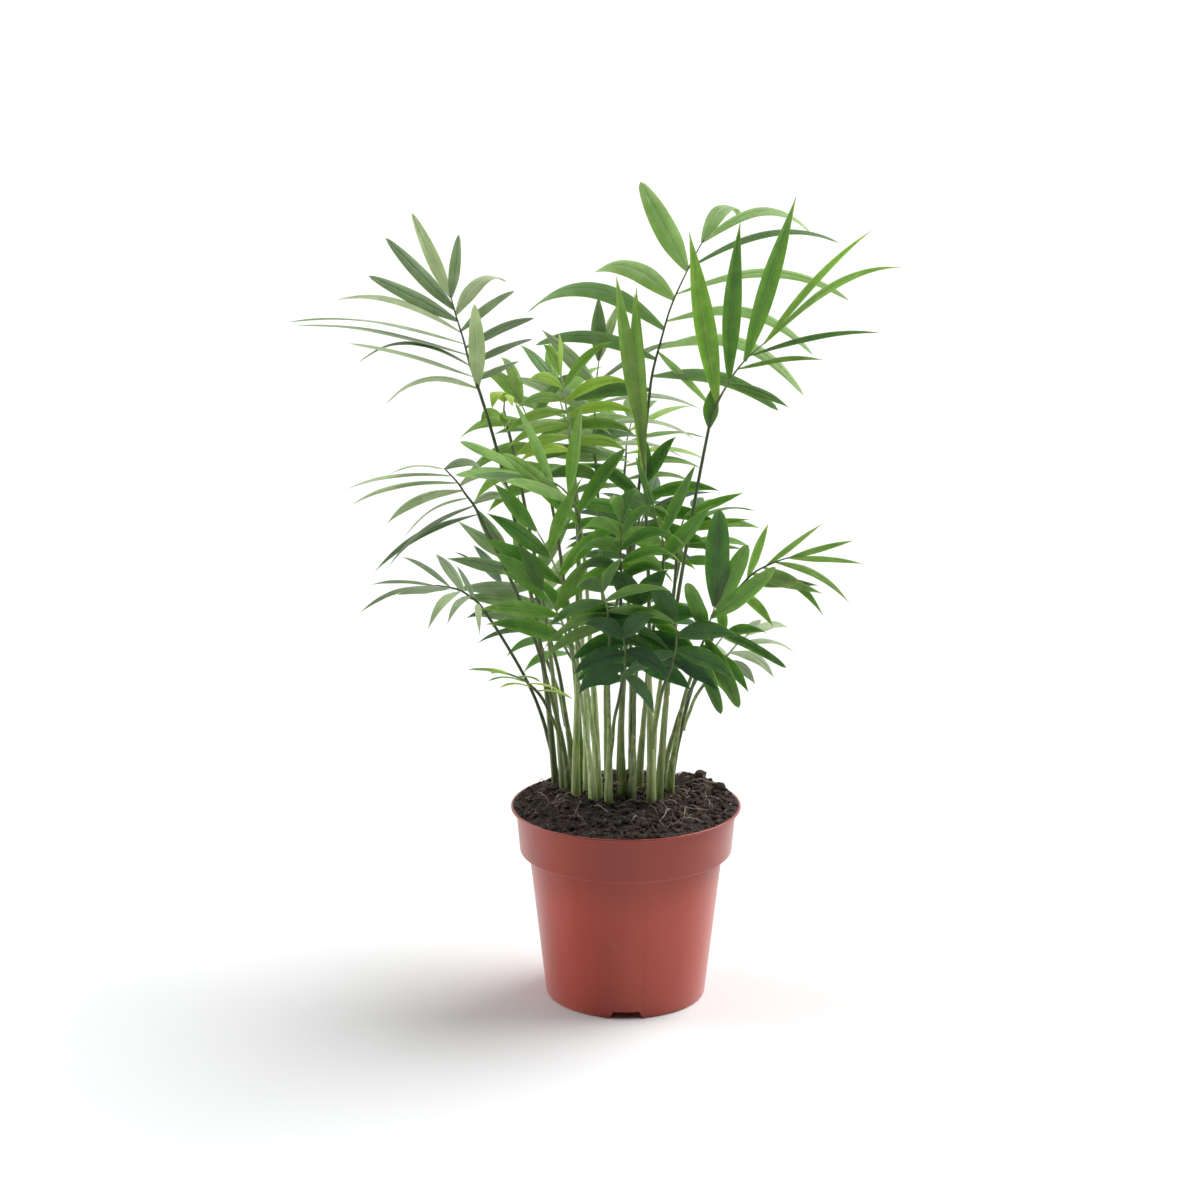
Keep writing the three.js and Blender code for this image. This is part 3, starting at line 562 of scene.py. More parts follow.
def leaf_material(kind, blade, pale):
    """A leaf blade: mottled, finely veined, and paler at the midrib, the tip, the foot and below."""
    n = Paint(f"leaf_{kind}", blade, 0.5)
    uv = n.add("UVMap", {"uv_map": UV_MAP}).outputs[0]
    across, along = n.add("SeparateXYZ", Vector=uv).outputs[:2]
    aside = n.maths("ABSOLUTE", n.maths("SUBTRACT", across, 0.5))
    veins = n.ramp(n.maths("SINE", n.maths("MULTIPLY", aside, 68)), 0.3, 1)
    mottle = n.noise(140, 3)
    dark = [c * 0.66 for c in linear(blade)[:3]] + [1]
    body = n.blend(n.ramp(n.noise(22, 1), 0.3, 0.7), dark, blade)
    for share in (
        n.ramp(mottle, 0.35, 0.75, 0, 0.3),
        n.maths("MULTIPLY", veins, 0.14),
        n.ramp(aside, 0.012, 0.05, 0.34, 0),
        n.ramp(along, 0.75, 1, 0, 0.3),
        n.ramp(along, 0, 0.16, 0.3, 0),
        n.maths("MULTIPLY", n.attribute("under"), 0.22),
    ):
        body = n.blend(share, body, pale)
    n.tinted(body, Value=(0.52, 1.4), Hue=(0.515, 0.485))
    n.bump(n.maths("ADD", veins, n.maths("MULTIPLY", mottle, 0.5)), 0.00012, 0.6)
    n.shade(
        Roughness=n.ramp(mottle, 0.2, 0.8, 0.42, 0.58), Specular_IOR_Level=0.3,
        Subsurface_Weight=0.35, Subsurface_Radius=(0.6, 1, 0.2), Subsurface_Scale=0.0015,
    )
    return n.owner


def stem_material():
    """Canes and stalks: pale ribbed sheaths low down, darker bare stalks above, papery sheath edges."""
    n = Paint("stem", "#8fa45a", 0.46)
    streak = n.noise(1, 4, (900, 900, 30), 0.6)
    patch = n.noise(1, 2, (160, 160, 40))
    pale = n.blend(n.ramp(streak, 0.32, 0.68), "#5f7c32", "#b2c878")
    pale = n.blend(n.ramp(patch, 0.35, 0.8, 0, 0.5), pale, "#c3cd98")
    stalk = n.blend(n.ramp(streak, 0.3, 0.7), "#3c4a2c", "#5d6d40")
    body = n.blend(n.attribute("dark"), pale, stalk)
    body = n.blend(n.ramp(n.height(), 0.098, 0.116, 0.55, 0), body, "#5e5a33")
    body = n.blend(n.maths("MULTIPLY", n.attribute("edge"), 0.7), body, "#b9a877")
    n.tinted(body, Value=(0.55, 1.25), Saturation=(1.2, 0.85))
    n.bump(streak, 0.0003, 0.5)
    n.shade(Roughness=n.ramp(streak, 0.2, 0.8, 0.4, 0.56))
    return n.owner


def soil_material(name, dark, light, fleck):
    """Damp peat: near black with brown crumbs and tan flecks."""
    n = Paint(name, dark, 0.92)
    coarse = n.noise(420, 6, rough=0.7)
    fine = n.noise(1700, 4, rough=0.6)
    body = n.blend(n.ramp(coarse, 0.35, 0.72), dark, light)
    n.tinted(n.blend(n.ramp(fine, 0.6, 0.78, 0, 0.6), body, fleck), Value=(0.45, 1.6))
    n.bump(n.maths("ADD", coarse, n.maths("MULTIPLY", fine, 0.4)), 0.0012)
    n.shade(Roughness=n.ramp(coarse, 0.3, 0.7, 0.82, 0.98))
    return n.owner


def fibre_material():
    """Root and peat fibres, straw to brown."""
    n = Paint("fibre", "#857364", 0.8)
    body = n.blend(n.attribute("tint"), "#4a3a31", "#c6b5a3")
    body = n.blend(n.ramp(n.noise(900), 0.3, 0.7, 0, 0.4), body, "#6a5547")
    n.bump(n.noise(2500), 0.0001)
    n.shade(Base_Color=body)
    return n.owner


def pot_material():
    """Satin moulded plastic: faint flow marks and scuffs, a dusty foot, and a red that darkens upward,
    painted shade under the crown and the lip.
    """
    n = Paint("pot_plastic", "#b04a3c", 0.36)
    flow = n.noise(1, 3, (26, 26, 7))
    grain = n.maths("MULTIPLY", n.noise(700, 3), 0.3)
    height = n.height()
    body = n.blend(n.ramp(flow, 0.3, 0.7), "#a53a2a", "#b84a36")
    body = n.blend(n.ramp(n.noise(90, 5, rough=0.7), 0.62, 0.8, 0, 0.14), body, "#c98c78")
    body = n.blend(n.ramp(height, 0, 0.02, 0.1, 0), body, "#8a5a48")
    # Painted shade: the upper wall and the collar darken toward a dark red, for the shade under the crown.
    body = n.blend(n.ramp(height, 0.05, 0.085, 0, 0.46), body, "#70241a")
    n.bump(n.maths("ADD", grain, flow), 0.00025, 0.35)
    n.shade(
        Base_Color=body, Roughness=n.ramp(n.maths("ADD", flow, grain), 0.4, 0.9, 0.3, 0.44),
        Specular_IOR_Level=0.45, Sheen_Weight=0.3, Sheen_Roughness=0.4,
    )
    return n.owner


# ---- Pot ----

MOULD = {"segments": 192, "smooth": 35, "floor": 0.6, "step_top": 2.6, "step_foot": 1.6}


def rounded(profile, turns=4):
    """A lathe profile with each inner corner cut into a small curve; corners are (r, z, radius)."""
    points = []
    count = len(profile)
    for i, (r, z, radius) in enumerate(profile):
        here = vec([r, z])
        if radius == 0 or i in (0, count - 1):
            points.append(here)
            continue
        back = vec(profile[i - 1][:2]) - here
        ahead = vec(profile[i + 1][:2]) - here
        reach = min(radius, 0.45 * np.linalg.norm(back), 0.45 * np.linalg.norm(ahead))
        corner = Bezier(here + unit(back) * reach, here, here + unit(ahead) * reach)
        points.extend(corner.point(t / turns) for t in range(turns + 1))
    return np.array(points)


def lathe(profile, segments):
    """Points and faces of a closed lathe form whose profile starts and ends on the axis."""
    ring = profile[1:-1]
    angle = 2 * math.pi * np.arange(segments) / segments
    points = np.stack([
        ring[:, None, 0] * np.cos(angle), ring[:, None, 0] * np.sin(angle),
        np.broadcast_to(ring[:, None, 1], (len(ring), segments)),
    ], -1).reshape(-1, 3)
    faces = tube_faces(len(ring), segments).tolist()
    first, last = len(points), len(points) + 1
    points = np.vstack([points, [[0, 0, profile[0][1]]], [[0, 0, profile[-1][1]]]])
    top = (len(ring) - 1) * segments
    for i in range(segments):
        j = (i + 1) % segments
        faces += [(first, j, i), (last, top + i, top + j)]
    return points, faces


def bars(name, start, length, low, high, low_width, high_width):
    """A mesh of like bars that run outward, one for each drainage channel; each may narrow upward."""
    points, faces = [], []
    for i in range(DRAIN["channels"]):
        turn = -math.pi / 2 + 2 * math.pi * i / DRAIN["channels"]
        c, s = math.cos(turn), math.sin(turn)
        first = len(points)
        for x in (start, start + length):
            for side in (-0.5, 0.5):
                for z, width in ((low, low_width), (high, high_width)):
                    y = side * width
                    points.append((x * c - y * s, x * s + y * c, z))
        quads = ((0, 1, 3, 2), (4, 6, 7, 5), (0, 4, 5, 1), (2, 3, 7, 6), (0, 2, 6, 4), (1, 5, 7, 3))
        faces.extend(tuple(first + k for k in q) for q in quads)
    return make_object(name, points, faces)


def cut(obj, tool, how):
    modifier = obj.modifiers.new(how, "BOOLEAN")
    modifier.operation = how
    modifier.solver = "EXACT"
    modifier.object = tool
    bpy.context.view_layer.update()
    evaluated = obj.evaluated_get(bpy.context.evaluated_depsgraph_get())
    mesh = bpy.data.meshes.new_from_object(evaluated)
    obj.modifiers.clear()
    old = obj.data
    obj.data = mesh
    bpy.data.meshes.remove(old)
    bpy.data.objects.remove(tool)


def inner_corners(wall):
    """Corners (r, z) of the pot's inside, from the flare under the lip down to the neck."""
    seam = POT["height"] - POT["collar_height"]
    return [
        (POT["collar"] - wall, POT["height"] - POT["flare"]),
        (POT["collar_foot"] - wall, seam + MOULD["step_top"]),
        (POT["neck"] - wall, seam + MOULD["step_foot"]),
    ]


def build_pot():
    h, rim, wall, base = POT["height"], POT["rim"], POT["wall"], POT["base"]
    seam = h - POT["collar_height"]
    lip = h - POT["lip"]
    floor = wall + MOULD["floor"]
    inside = [(*corner, radius) for corner, radius in zip(inner_corners(wall), (2, 1.5, 1))]
    profile = rounded([
        (0, 0, 0), (base - 0.1, 0, 1.6), (POT["neck"], seam, 0.6), (POT["collar_foot"], seam + 0.1, 1.0),
        (POT["collar"], lip, 0.7), (rim, lip, 0.5), (rim, h, 0.6), (rim - POT["lip_width"], h, 0.5),
        *inside, (base - wall - 0.2, floor, 0.6), (0, floor, 0),
    ])
    pot = make_object("pot_shell", *lathe(profile, MOULD["segments"]))
    inner, width, height = DRAIN["inner"], DRAIN["width"], DRAIN["height"]
    reach = base - wall - inner
    wide = width + 2 * wall
    housing = bars("housing", inner - wall / 2, reach + wall, 0.02, height + wall, wide, wide)
    cut(pot, housing, "UNION")
    flare = (width - DRAIN["top_width"]) / height
    channel = bars("channel", inner + wall / 2, reach + 8, -1, height, width + flare, DRAIN["top_width"])
    cut(pot, channel, "DIFFERENCE")
    pot.data.polygons.foreach_set("use_smooth", [True] * len(pot.data.polygons))
    pot.data.set_sharp_from_angle(angle=math.radians(MOULD["smooth"]))
    pot.data.materials.clear()
    pot.data.materials.append(pot_material())
    return pot


# ---- Soil ----

SOIL_RINGS = 74
SOIL_SEGMENTS = 160
SOIL_EDGE = 58.9
SOIL_FLOOR = 6.2
DRY_SPOT = (33, -40, 20)  # x, y and reach of the paler, drier crumbs
SHADED_SPOT = (-4, -26, 20)  # x, y and reach of painted shade under the clump of stems: darker soil and crumbs, and fewer fibres
# Clods, and the crumbs on them: height, and how close together they are
ROUGH = {"clod": 1.5, "clod_scale": 0.16, "crumb": 0.45, "crumb_scale": 0.9}
# The calmer strip at the pot's wall: its width, how much roughness is left there, and how much it stands up
STRIP = {"width": 6, "left": 0.3, "rise": 0.7}
LUMPS = [(40, 33, 4.2), (50, 22, 3.6), (33, 41, 3.2), (-41, 30, 2.6), (24, -33, 2.4), (-12, -40, 2.2)]
CRUMBS = {"shapes": 14, "count": 2000, "reach": 59, "least": 0.45, "more": 1.7, "rarity": 3.4, "flat": 0.8}
FIBRES = {"count": 420, "long_every": 7, "reach": 56, "steps": 9, "sides": 4, "lie": 0.35}


def soil_top(x, y):
    """The soil's height with its clods and crumbs."""
    rough = noise.fractal(Vector((x, y, 3.0)) * ROUGH["clod_scale"], 0.8, 2.1, 4)
    fine = noise.noise(Vector((x, y, 9.0)) * ROUGH["crumb_scale"])
    edge = smooth((SOIL_EDGE - math.hypot(x, y)) / STRIP["width"])
    share = STRIP["left"] + (1 - STRIP["left"]) * edge
    rise = (ROUGH["clod"] * rough + ROUGH["crumb"] * fine) * share
    return soil_height(x, y) + rise + STRIP["rise"] * (1 - edge)


def near(x, y, spot):
    """1 in the middle of a spot on the soil, falling to 0 around it."""
    return math.exp(-((x - spot[0]) ** 2 + (y - spot[1]) ** 2) / spot[2] ** 2)


def build_soil():
    """The soil bed: a closed plug of the pot's inside with a rough top."""
    wall = POT["wall"] + 0.1
    h = POT["height"]
    side = inner_corners(wall) + [(POT["base"] - wall - 0.3, SOIL_FLOOR)]
    profile = [(0.0, SOIL_FLOOR)] + side[::-1]
    profile += [(SOIL_EDGE * (1 - k / SOIL_RINGS), h) for k in range(SOIL_RINGS + 1)]
    points, faces = lathe(np.array(profile), SOIL_SEGMENTS)
    tint = []
    for p in points:
        if p[2] > h - 0.1:
            p[2] = soil_top(p[0], p[1])
        raised = (p[2] - soil_height(p[0], p[1])) / ROUGH["clod"]
        # Painted shade: the soil is darker in the spot under the clump of stems.
        painted_shade = 0.3 * near(p[0], p[1], SHADED_SPOT)
        tint.append(0.36 + 0.3 * raised + 0.2 * noise.noise(Vector(p) * 0.11) - painted_shade)
    material = soil_material("soil", "#1d1411", "#3f2c22", "#7a5c42")
    return make_object("soil_bed", points, faces, 80, {"tint": np.clip(tint, 0, 1)}, None, material)


def crumb_shapes(rng):
    """A few rough lumps, each a small ball pushed in and out."""
    ball = bmesh.new()
    bmesh.ops.create_icosphere(ball, subdivisions=2, radius=1.0)
    points = np.array([v.co for v in ball.verts])
    faces = np.array([[v.index for v in f.verts] for f in ball.faces])
    ball.free()
    shapes = []
    for _ in range(CRUMBS["shapes"]):
        shift = Vector(rng.uniform(-40, 40, 3))
        push = np.array([0.42 * noise.noise(Vector(p) * 1.5 + shift) for p in points])
        push += [0.2 * noise.noise(Vector(p) * 3.6 + shift) for p in points]
        shapes.append(points * (1 + push)[:, None])
    return shapes, faces


def build_crumbs():
    """Loose crumbs and clods of peat on the soil."""
    rng = np.random.default_rng(SEED)
    shapes, faces = crumb_shapes(rng)
    gather = Collector()
    places = list(LUMPS)
    while len(places) < CRUMBS["count"]:
        x, y = rng.uniform(-CRUMBS["reach"], CRUMBS["reach"], 2)
        size = CRUMBS["least"] + CRUMBS["more"] * rng.random() ** CRUMBS["rarity"]
        if math.hypot(x, y) + 0.8 * size < SOIL_EDGE + 0.3:
            places.append((x, y, size))
    for x, y, size in places:
        shape = shapes[rng.integers(len(shapes))]
        turn = Quaternion(rng.normal(size=4)).normalized().to_matrix()
        scale = size * rng.uniform(0.75, 1.2, 3) * [1, 1, CRUMBS["flat"]]
        centre = vec([x, y, soil_top(x, y) + 0.15 * size])
        # Drier crumbs are paler; painted shade darkens those in the spot under the clump of stems.
        dry = 0.35 * near(x, y, DRY_SPOT) - 0.4 * near(x, y, SHADED_SPOT)
        points = shape @ np.array(turn).T * scale + centre
        gather.add(points, faces, tint=min(1.0, max(0.0, rng.uniform(0.05, 0.75) + dry)))
    material = soil_material("crumb", "#231915", "#4d3729", "#8d6d50")
    return gather.build("soil_crumbs", 60, material)


def strand(path, radius):
    """Points and quads of a thin strand along a path, thinner to its ends."""
    steps, sides = FIBRES["steps"], FIBRES["sides"]
    along = np.gradient(path, axis=0)
    along /= np.linalg.norm(along, axis=1)[:, None]
    side = np.cross(along, [0.31, 0.17, 0.93])
    side /= np.linalg.norm(side, axis=1)[:, None]
    taper = radius * (1 - 0.75 * np.abs(np.linspace(-1, 1, steps)) ** 3)
    return tube_points(path, side, np.cross(along, side), taper[:, None], sides), closed_tube(steps, sides)


def build_fibres():
    """Peat fibres and fine roots lying on the soil, some standing up a little."""
    rng = np.random.default_rng(SEED + 1)
    gather = Collector()
    steps = FIBRES["steps"]
    for i in range(FIBRES["count"]):
        r = FIBRES["reach"] * math.sqrt(rng.random())
        a = rng.uniform(0, 2 * math.pi)
        long = i % FIBRES["long_every"] == 0
        length = rng.uniform(12, 24) if long else 2.5 + 8 * rng.random() ** 1.6
        turn = rng.uniform(0, 2 * math.pi)
        bend = rng.normal(0, 0.03 if long else 0.1)
        lift = max(0.2, rng.normal(0.9, 1.2))
        path = []
        x, y = r * math.cos(a), r * math.sin(a)
        for k in range(steps):
            arch = lift * math.sin(math.pi * (k / (steps - 1)))
            path.append((x, y, soil_top(x, y) + FIBRES["lie"] + arch))
            x += math.cos(turn) * length / steps
            y += math.sin(turn) * length / steps
            turn += bend + rng.normal(0, 0.06)
        path = np.array(path)
        if np.hypot(path[:, 0], path[:, 1]).max() > SOIL_EDGE:
            continue
        # Fewer fibres in the spot of painted shade.
        if rng.random() < 0.7 * near(*path[steps // 2, :2], SHADED_SPOT):
            continue
        skin = strand(path, rng.uniform(0.16, 0.27) if long else rng.uniform(0.1, 0.2))
        gather.add(*skin, tint=rng.uniform(0.45, 1.0) if long else rng.random() ** 1.4)
    return gather.build("soil_fibres", 70, fibre_material())


# ---- Canes, stalks and ribs ----

CANE_RINGS = (96, 30)  # along the stalk, and along the rib
CANE_SIDES = 14
STALK = {"rings": (34, 22), "sides": 8, "foot": 0.95, "neck": 0.85}
RIB_TIP = 0.38
# Sheaths of a cane. apart, slant, step and edge are shares of its length, rise and thinner of its radius.
SHEATHS = {
    "count": 3, "apart": (0.1, 0.2), "slant": 0.016, "step": 0.008, "edge": 0.005, "rise": 0.11,
    "thinner": 0.16,
}


def stalk_curve(start, base):
    bend = np.append(mix(start[:2], base[:2], CANE["lean"]), mix(start[2], base[2], CANE["rise"]))
    return Bezier(start, bend, base)


def rib_curve(stalk, tip):
    base = stalk.c
    reach = np.linalg.norm(tip - base) * RIB_ARCH
    return Bezier(base, base + stalk.tangent(1) * reach, tip)


def cane_radius(girth, t):
    foot = CANE["foot"] * girth
    neck = min(foot, CANE["neck"])
    waist = mix(foot, neck, CANE["taper"])
    end = CANE["taper_end"]
    return mix(foot, waist, t / end) if t < end else mix(waist, neck, (t - end) / (1 - end))


def lines_of(fronds):
    """Each frond's stalk and rib, and how thick the stalk is along its length."""
    found = {}
    for frond in fronds:
        base, tip = vec(frond["base"]), vec(frond["tip"])
        x, y = frond["start"]
        if isinstance(x, str):
            carrier, at = found[x], y
            start = carrier["stalk"].point(at)
            away = unit(vec([base[0] - start[0], base[1] - start[1], 0]))
            start = start + away * (cane_radius(carrier["girth"], at) + STALK_FOOT + GAP)
            girth = None
        else:
            start = vec([x, y, soil_height(x, y) - CANE["sink"]])
            girth = frond.get("girth", 1)
        stalk = stalk_curve(start, base)
        found[frond["name"]] = {"stalk": stalk, "rib": rib_curve(stalk, tip), "girth": girth}
    return found


def stem_rings(line):
    """Places, directions, radii and shares of a stem: 0 to 1 along the stalk and 1 to 2 along the rib."""
    girth = line["girth"]
    low, high = STALK["rings"] if girth is None else CANE_RINGS
    rings = []
    for k in range(low):
        t = k / low
        radius = mix(STALK["foot"], STALK["neck"], t) if girth is None else cane_radius(girth, t)
        rings.append((line["stalk"].point(t), line["stalk"].tangent(t), radius, t))
    neck = rings[-1][2]
    for k in range(high + 1):
        t = k / high
        rings.append((line["rib"].point(t), line["rib"].tangent(t), mix(neck, RIB_TIP, t ** 0.8), 1 + t))
    return map(np.array, zip(*rings))


def add_stem(gather, name, line, rng):
    """A stem with ribbed sheaths: each sheath ends in a slanted mouth with a thin dry edge."""
    own = line["girth"] is not None
    sides = CANE_SIDES if own else STALK["sides"]
    centres, alongs, radii, shares = stem_rings(line)
    across = np.array([square_to(vec([1, 0, 0]), a) for a in alongs])
    angle = 2 * math.pi * np.arange(sides) / sides
    relief = 0.035 * np.cos(4 * angle + rng.uniform(0, 6)) * np.ones((len(radii), 1))
    edge = np.zeros((len(radii), sides))
    if own:
        for at in np.cumsum(rng.uniform(*SHEATHS["apart"], SHEATHS["count"])):
            mouth = at + SHEATHS["slant"] * np.cos(angle - rng.uniform(0, 2 * math.pi))
            below = mouth - shares[:, None]
            relief += SHEATHS["rise"] * smooth(below / SHEATHS["step"] + 0.5)
            edge += np.exp(-((below - 0.001) / SHEATHS["edge"]) ** 2)
        relief -= SHEATHS["thinner"]
    wobble = 0.25 * np.sin(shares * rng.uniform(9, 14) + rng.uniform(0, 6)) * np.clip(shares * 4, 0, 1)
    centres = centres + across * (wobble * np.clip((2 - shares) * 2, 0, 1))[:, None]
    points = tube_points(centres, across, np.cross(alongs, across), radii[:, None] * (1 + relief), sides)
    # Bare dark stalks, and painted shade on the canes in the middle of the clump.
    foot = DARK_AND_SHADED_STALKS.get(name, 0.05 if own else 0.3)
    dark = np.clip(foot + smooth((shares - 0.3) / 0.6) * 0.75 - smooth((shares - 1) / 0.5) * 0.45, 0, 1)
    gather.add(
        points, closed_tube(len(radii), sides),
        dark=np.repeat(dark, sides), edge=np.clip(edge, 0, 1).ravel(), tint=rng.random(),
    )


# ---- Leaflets ----

SAME_POINT = 3e-5  # metres
PART_TIP_POWER = 0.8


def value_of(values, i, count, ease=1):
    """A leaflet's value: one for all, one for each, or the first and the last."""
    if not isinstance(values, (list, tuple)):
        return values
    if len(values) == count:
        return values[i]
    order = i / (count - 1) if count > 1 else 1
    return mix(*values, order ** ease)


def leaflet_specs(frond, rib, seed):
    """How each leaflet leaves the rib: the part's rule."""
    random = draws(seed)

    def chance(reach):
        return LEAFLET[reach] * (next(random) - 0.5)

    specs = []
    for hand, side in ((1, frond["left"]), (-1, frond["right"])):
        count = len(side["lengths"])
        shift = 0 if hand > 0 else 0.5
        for i, length in enumerate(side["lengths"]):
            t = (i + shift) / (count - 1 + shift) if count > 1 else 1
            open_ = value_of(side["open"], i, count, 3) + chance("open_chance")
            lift = side["lift"] + chance("lift_chance")
            droop = value_of(side["droop"], i, count) * (1 + chance("droop_chance"))
            specs.append({
                "hand": hand, "t": mix(*side["span"], t), "open": open_, "lift": lift, "droop": droop,
                "level": value_of(side["level"], i, count), "length": length,
                "width": value_of(side["width"], i, count),
            })
    if "stray" in frond:
        specs.append({"hand": 1, "t": LEAFLET["span"][0], **frond["stray"], "bright": True})
    face = heading(*frond["face"]) if "face" in frond else UP
    for spec in specs:
        spec["face"] = face
        spec["along"] = rib.tangent(spec["t"])
        spec["chord"] = rib.chord(RIB_STEPS, spec["t"])
        spec["root"] = rib.point(spec["t"])
    return specs


def aim(spec, swing):
    """A leaflet's direction and the way its face looks, swung out of the blade's plane."""
    out = square_to(spec["face"], spec["along"])
    side = np.cross(out, spec["along"]) * spec["hand"]
    a, c = math.radians(spec["open"]), math.radians(spec["lift"] + swing)
    direction = (
        spec["along"] * math.cos(a) + side * math.sin(a) * math.cos(c) + out * math.sin(a) * math.sin(c)
    )
    return direction, out * (1 - spec["level"]) + UP * spec["level"]


def leaflet_line(spec, swing, root, steps):
    """Middle line of a leaflet with the directions along it, across it and out of its face.

    With the part's own number of steps this is the part's line; with more it follows the same arc.
    """
    direction, normal = aim(spec, swing)
    across = np.cross(direction, square_to(normal, direction))
    lag = 0.0 if steps == LEAFLET["bends"] else 0.5 / LEAFLET["bends"] - 0.5 / steps

    def along(u):
        return unit(direction - UP * spec["droop"] * max(0.0, u) ** LEAFLET["sag"])

    place = root.copy()
    rows = []
    for j in range(steps + 1):
        u = j / steps
        ahead = along(u)
        side = square_to(across, ahead)
        rows.append((place, ahead, side, np.cross(side, ahead)))
        place = place + along(u - lag) * spec["length"] / steps
    return rows


def half_share(u, power):
    """Half width along a leaflet, as a share of the greatest."""
    widest, root = LEAFLET["widest"], LEAFLET["root_share"]
    rise = root + (1 - root) * np.sin(np.pi / 2 * np.clip(u / widest, 0, 1))
    fall = np.cos(np.pi / 2 * np.clip((u - widest) / (1 - widest), 0, 1)) ** power
    return np.where(u < widest, rise, fall)


def swing_taken(tree, spec):
    """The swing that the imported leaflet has, or None where it was skipped."""

    def found(place):
        return tree.find(place * MM)[2] < SAME_POINT

    stations = (5,) if spec["length"] < LEAFLET["short"] else (4, 8)
    for swing in SWINGS:
        rows = leaflet_line(spec, swing, spec["chord"], LEAFLET["bends"])
        if found(rows[-1][0]):
            return swing
        hits = 0
        for j in stations:
            place, _, side, _ = rows[j]
            half = spec["width"] / 2 * float(half_share(np.array(j / LEAFLET["bends"]), PART_TIP_POWER))
            hits += sum(found(place + side * half * s) for s in (-1, 1))
        if hits >= 2:
            return swing
    return None


COLUMNS = vec([-1, -0.82, -0.56, -0.3, -0.08, 0, 0.08, 0.3, 0.56, 0.82, 1])


def blade_faces(rows, columns):
    """Quads of a thin closed blade: upper skin, under skin and the rim between them."""
    k, c = np.meshgrid(np.arange(rows - 1), np.arange(columns - 1), indexing="ij")
    a = (k * columns + c).ravel()
    upper = np.stack([a, a + 1, a + columns + 1, a + columns], -1)
    shift = rows * columns
    under = upper[:, ::-1] + shift
    k = np.arange(rows - 1) * columns
    left = np.stack([k, k + columns, k + columns + shift, k + shift], -1)
    k = k + columns - 1
    right = np.stack([k, k + shift, k + columns + shift, k + columns], -1)
    c = np.arange(columns - 1)
    root = np.stack([c, c + shift, c + 1 + shift, c + 1], -1)
    c = c + (rows - 1) * columns
    tip = np.stack([c, c + 1, c + 1 + shift, c + shift], -1)
    return np.vstack([upper, under, left, right, root, tip])


# A leaflet of the scene: least, size, cup and wave are shares of its half width, and bow one of its length.
# twist and fold are degrees, opens the share of fold lost at the tip, and the others millimetres: the skin is
# thinner where the half width is less than full.
BLADE = {
    "steps": 24, "least": 0.03, "size": (0.9, 1.04), "bow": (0.02, 0.025), "twist": (14, 10),
    "fold": (6, 16), "opens": 0.55, "cup": 0.07, "wave": 0.055, "waves": (1.2, 2.2),
    "midrib": 0.16, "keel": 0.3, "skin": 0.16, "full": 1.2,
}
FACES = blade_faces(BLADE["steps"] + 1, len(COLUMNS))


def add_leaflet(gather, spec, swing, power, rng):
    """A leaflet: a folded, slightly twisted and bowed blade with a sunken midrib above and a keel below."""
    rows = leaflet_line(spec, swing, spec["root"], BLADE["steps"])
    place, _, side, out = (np.array(x) for x in zip(*rows))
    u = np.linspace(0, 1, BLADE["steps"] + 1)[:, None]
    half = spec["width"] / 2 * np.maximum(half_share(u, power), BLADE["least"])
    half *= rng.uniform(*BLADE["size"])
    bow = rng.normal(*BLADE["bow"]) * spec["length"] * np.sign(np.dot(side[0], spec["along"]) or 1)
    place = place + side * (bow * u ** 2)
    even, late = BLADE["twist"]
    twist = np.radians(rng.normal(0, even) * u + rng.normal(0, late) * u ** 2)
    side, out = side * np.cos(twist) + out * np.sin(twist), out * np.cos(twist) - side * np.sin(twist)
    fold = math.radians(rng.uniform(*BLADE["fold"])) * (1 - BLADE["opens"] * u)
    away = np.abs(COLUMNS)
    middle = away < 0.01
    waves = rng.uniform(*BLADE["waves"]) * u + rng.random()
    rise = (
        -away * (half * np.sin(fold))
        + BLADE["cup"] * half * np.sin(math.pi * away)
        + BLADE["wave"] * half * away ** 2 * np.sin(2 * math.pi * waves + 0.9 * np.sign(COLUMNS))
        - BLADE["midrib"] * np.clip(half, 0, 1) * middle
    )
    spread = COLUMNS * (half * np.cos(fold))
    thick = BLADE["skin"] + BLADE["skin"] * (1 - away) + BLADE["keel"] * middle
    thick = thick * np.clip(half / BLADE["full"], 0.25, 1)
    upper = place[:, None] + side[:, None] * spread[..., None] + out[:, None] * rise[..., None]
    under = upper - out[:, None] * thick[..., None]
    uv = np.stack(np.broadcast_arrays(0.5 + 0.5 * COLUMNS, u), -1).reshape(-1, 2)
    gather.add(
        np.concatenate([upper.reshape(-1, 3), under.reshape(-1, 3)]), FACES, np.vstack([uv, uv]),
        under=np.repeat([0.0, 1.0], len(uv)), tint=1.0 if "bright" in spec else rng.uniform(0.1, 0.9),
    )


# ---- Assembly ----


def build_plant():
    """Foliage by kind, and all the stems."""
    kind_of = {name: kind for kind, (_, _, names) in FOLIAGE.items() for name in names}
    gathers = {kind: Collector() for kind in FOLIAGE}
    stems = Collector()
    lines = lines_of(FRONDS)
    for index, frond in enumerate(FRONDS):
        name = frond["name"]
        rng = np.random.default_rng(SEED * 100 + index)
        add_stem(stems, name, lines[name], rng)
        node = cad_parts["frond_" + name]
        tree = kdtree.KDTree(len(node.data.vertices))
        for v in node.data.vertices:
            tree.insert(v.co, v.index)
        tree.balance()
        for spec in leaflet_specs(frond, lines[name]["rib"], index + 1):
            swing = swing_taken(tree, spec)
            if swing is not None:
                add_leaflet(gathers[kind_of[name]], spec, swing, BLUNT.get(name, TIP_POWER), rng)
    for kind, (blade, pale, names) in FOLIAGE.items():
        leaves = gathers[kind].build(f"foliage_{kind}", 60, leaf_material(kind, blade, pale))
        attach(leaves, "root")
        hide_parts(*[f"frond_{name}" for name in names])
    canes = stems.build("stems", 70, stem_material())
    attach(canes, "root")
    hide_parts(*[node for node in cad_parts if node.startswith("cane_")])


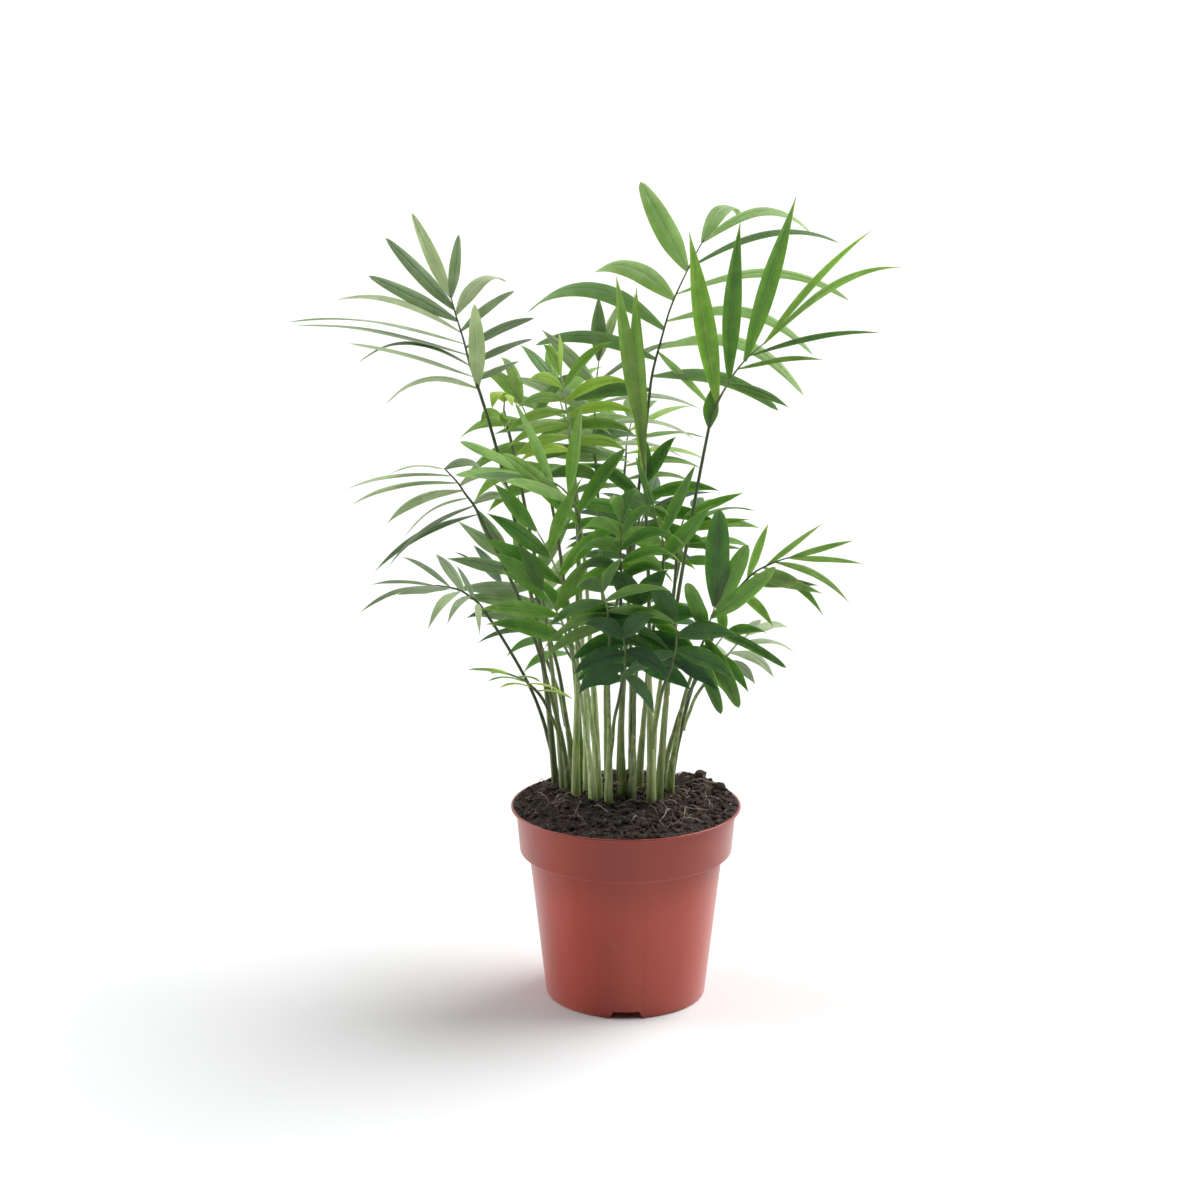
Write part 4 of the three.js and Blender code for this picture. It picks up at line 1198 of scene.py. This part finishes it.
def studio_sky():
    """The white sky: dark on the near side for light and for gloss, but never for the camera."""
    n = Nodes(bpy.data.worlds.new("studio"))
    rays = n.add("LightPath").outputs
    direction = n.add("TexCoord").outputs["Generated"]
    aspect = n.add("SeparateXYZ", Vector=direction).outputs["Y"]
    grain = n.add("TexWhiteNoise", Vector=direction).outputs["Value"]

    def light(value, reach, strengths):
        strength = n.ramp(value, *reach, *strengths)
        return n.add("Background", Color=(1, 1, 1, 1), Strength=strength).outputs[0]

    def either(ray, without, with_it):
        return n.fill(n.add("MixShader"), {0: rays[ray], 1: without, 2: with_it}).outputs[0]

    shed, mirrored = (light(aspect, SKY["fade"], SKY[key]) for key in ("shed", "mirrored"))
    seen = light(grain, (0, 1), SKY["seen"])
    whole = either("Is Camera Ray", either("Is Glossy Ray", shed, mirrored), seen)
    n.fill(n.tree.nodes["World Output"], {"Surface": whole})
    return n.owner


def build_stage():
    """Camera, floor, sky and lamps."""
    scene = bpy.context.scene
    camera = bpy.data.objects.new("camera", bpy.data.cameras.new("camera"))
    camera.data.sensor_width = CAMERA["sensor"]
    camera.data.lens = CAMERA["lens"]
    camera.location = CAMERA["place"]
    camera.rotation_euler = (math.radians(CAMERA["pitch"]), 0, 0)
    scene.collection.objects.link(camera)
    scene.camera = camera
    scene.view_settings.view_transform = "Standard"
    scene.world = studio_sky()
    for name, direction, spread, strength in SUNS:
        data = bpy.data.lights.new(name, "SUN")
        data.angle, data.energy = math.radians(spread), strength
        lamp = bpy.data.objects.new(name, data)
        lamp.rotation_euler = Vector(direction).to_track_quat("-Z", "Y").to_euler()
        scene.collection.objects.link(lamp)
    paint = Paint("floor", FLOOR["colour"], FLOOR["roughness"]).owner
    far = FLOOR["reach"]
    corners = [(-far, -far, 0), (far, -far, 0), (far, far, 0), (-far, far, 0)]
    floor = make_object("floor", corners, [(0, 1, 2, 3)], material=paint)


build_stage()
pot = build_pot()
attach(pot, "root")
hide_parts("pot")
bed = build_soil()
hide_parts("soil")
for piece in (bed, build_crumbs(), build_fibres()):
    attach(piece, "root")
build_plant()
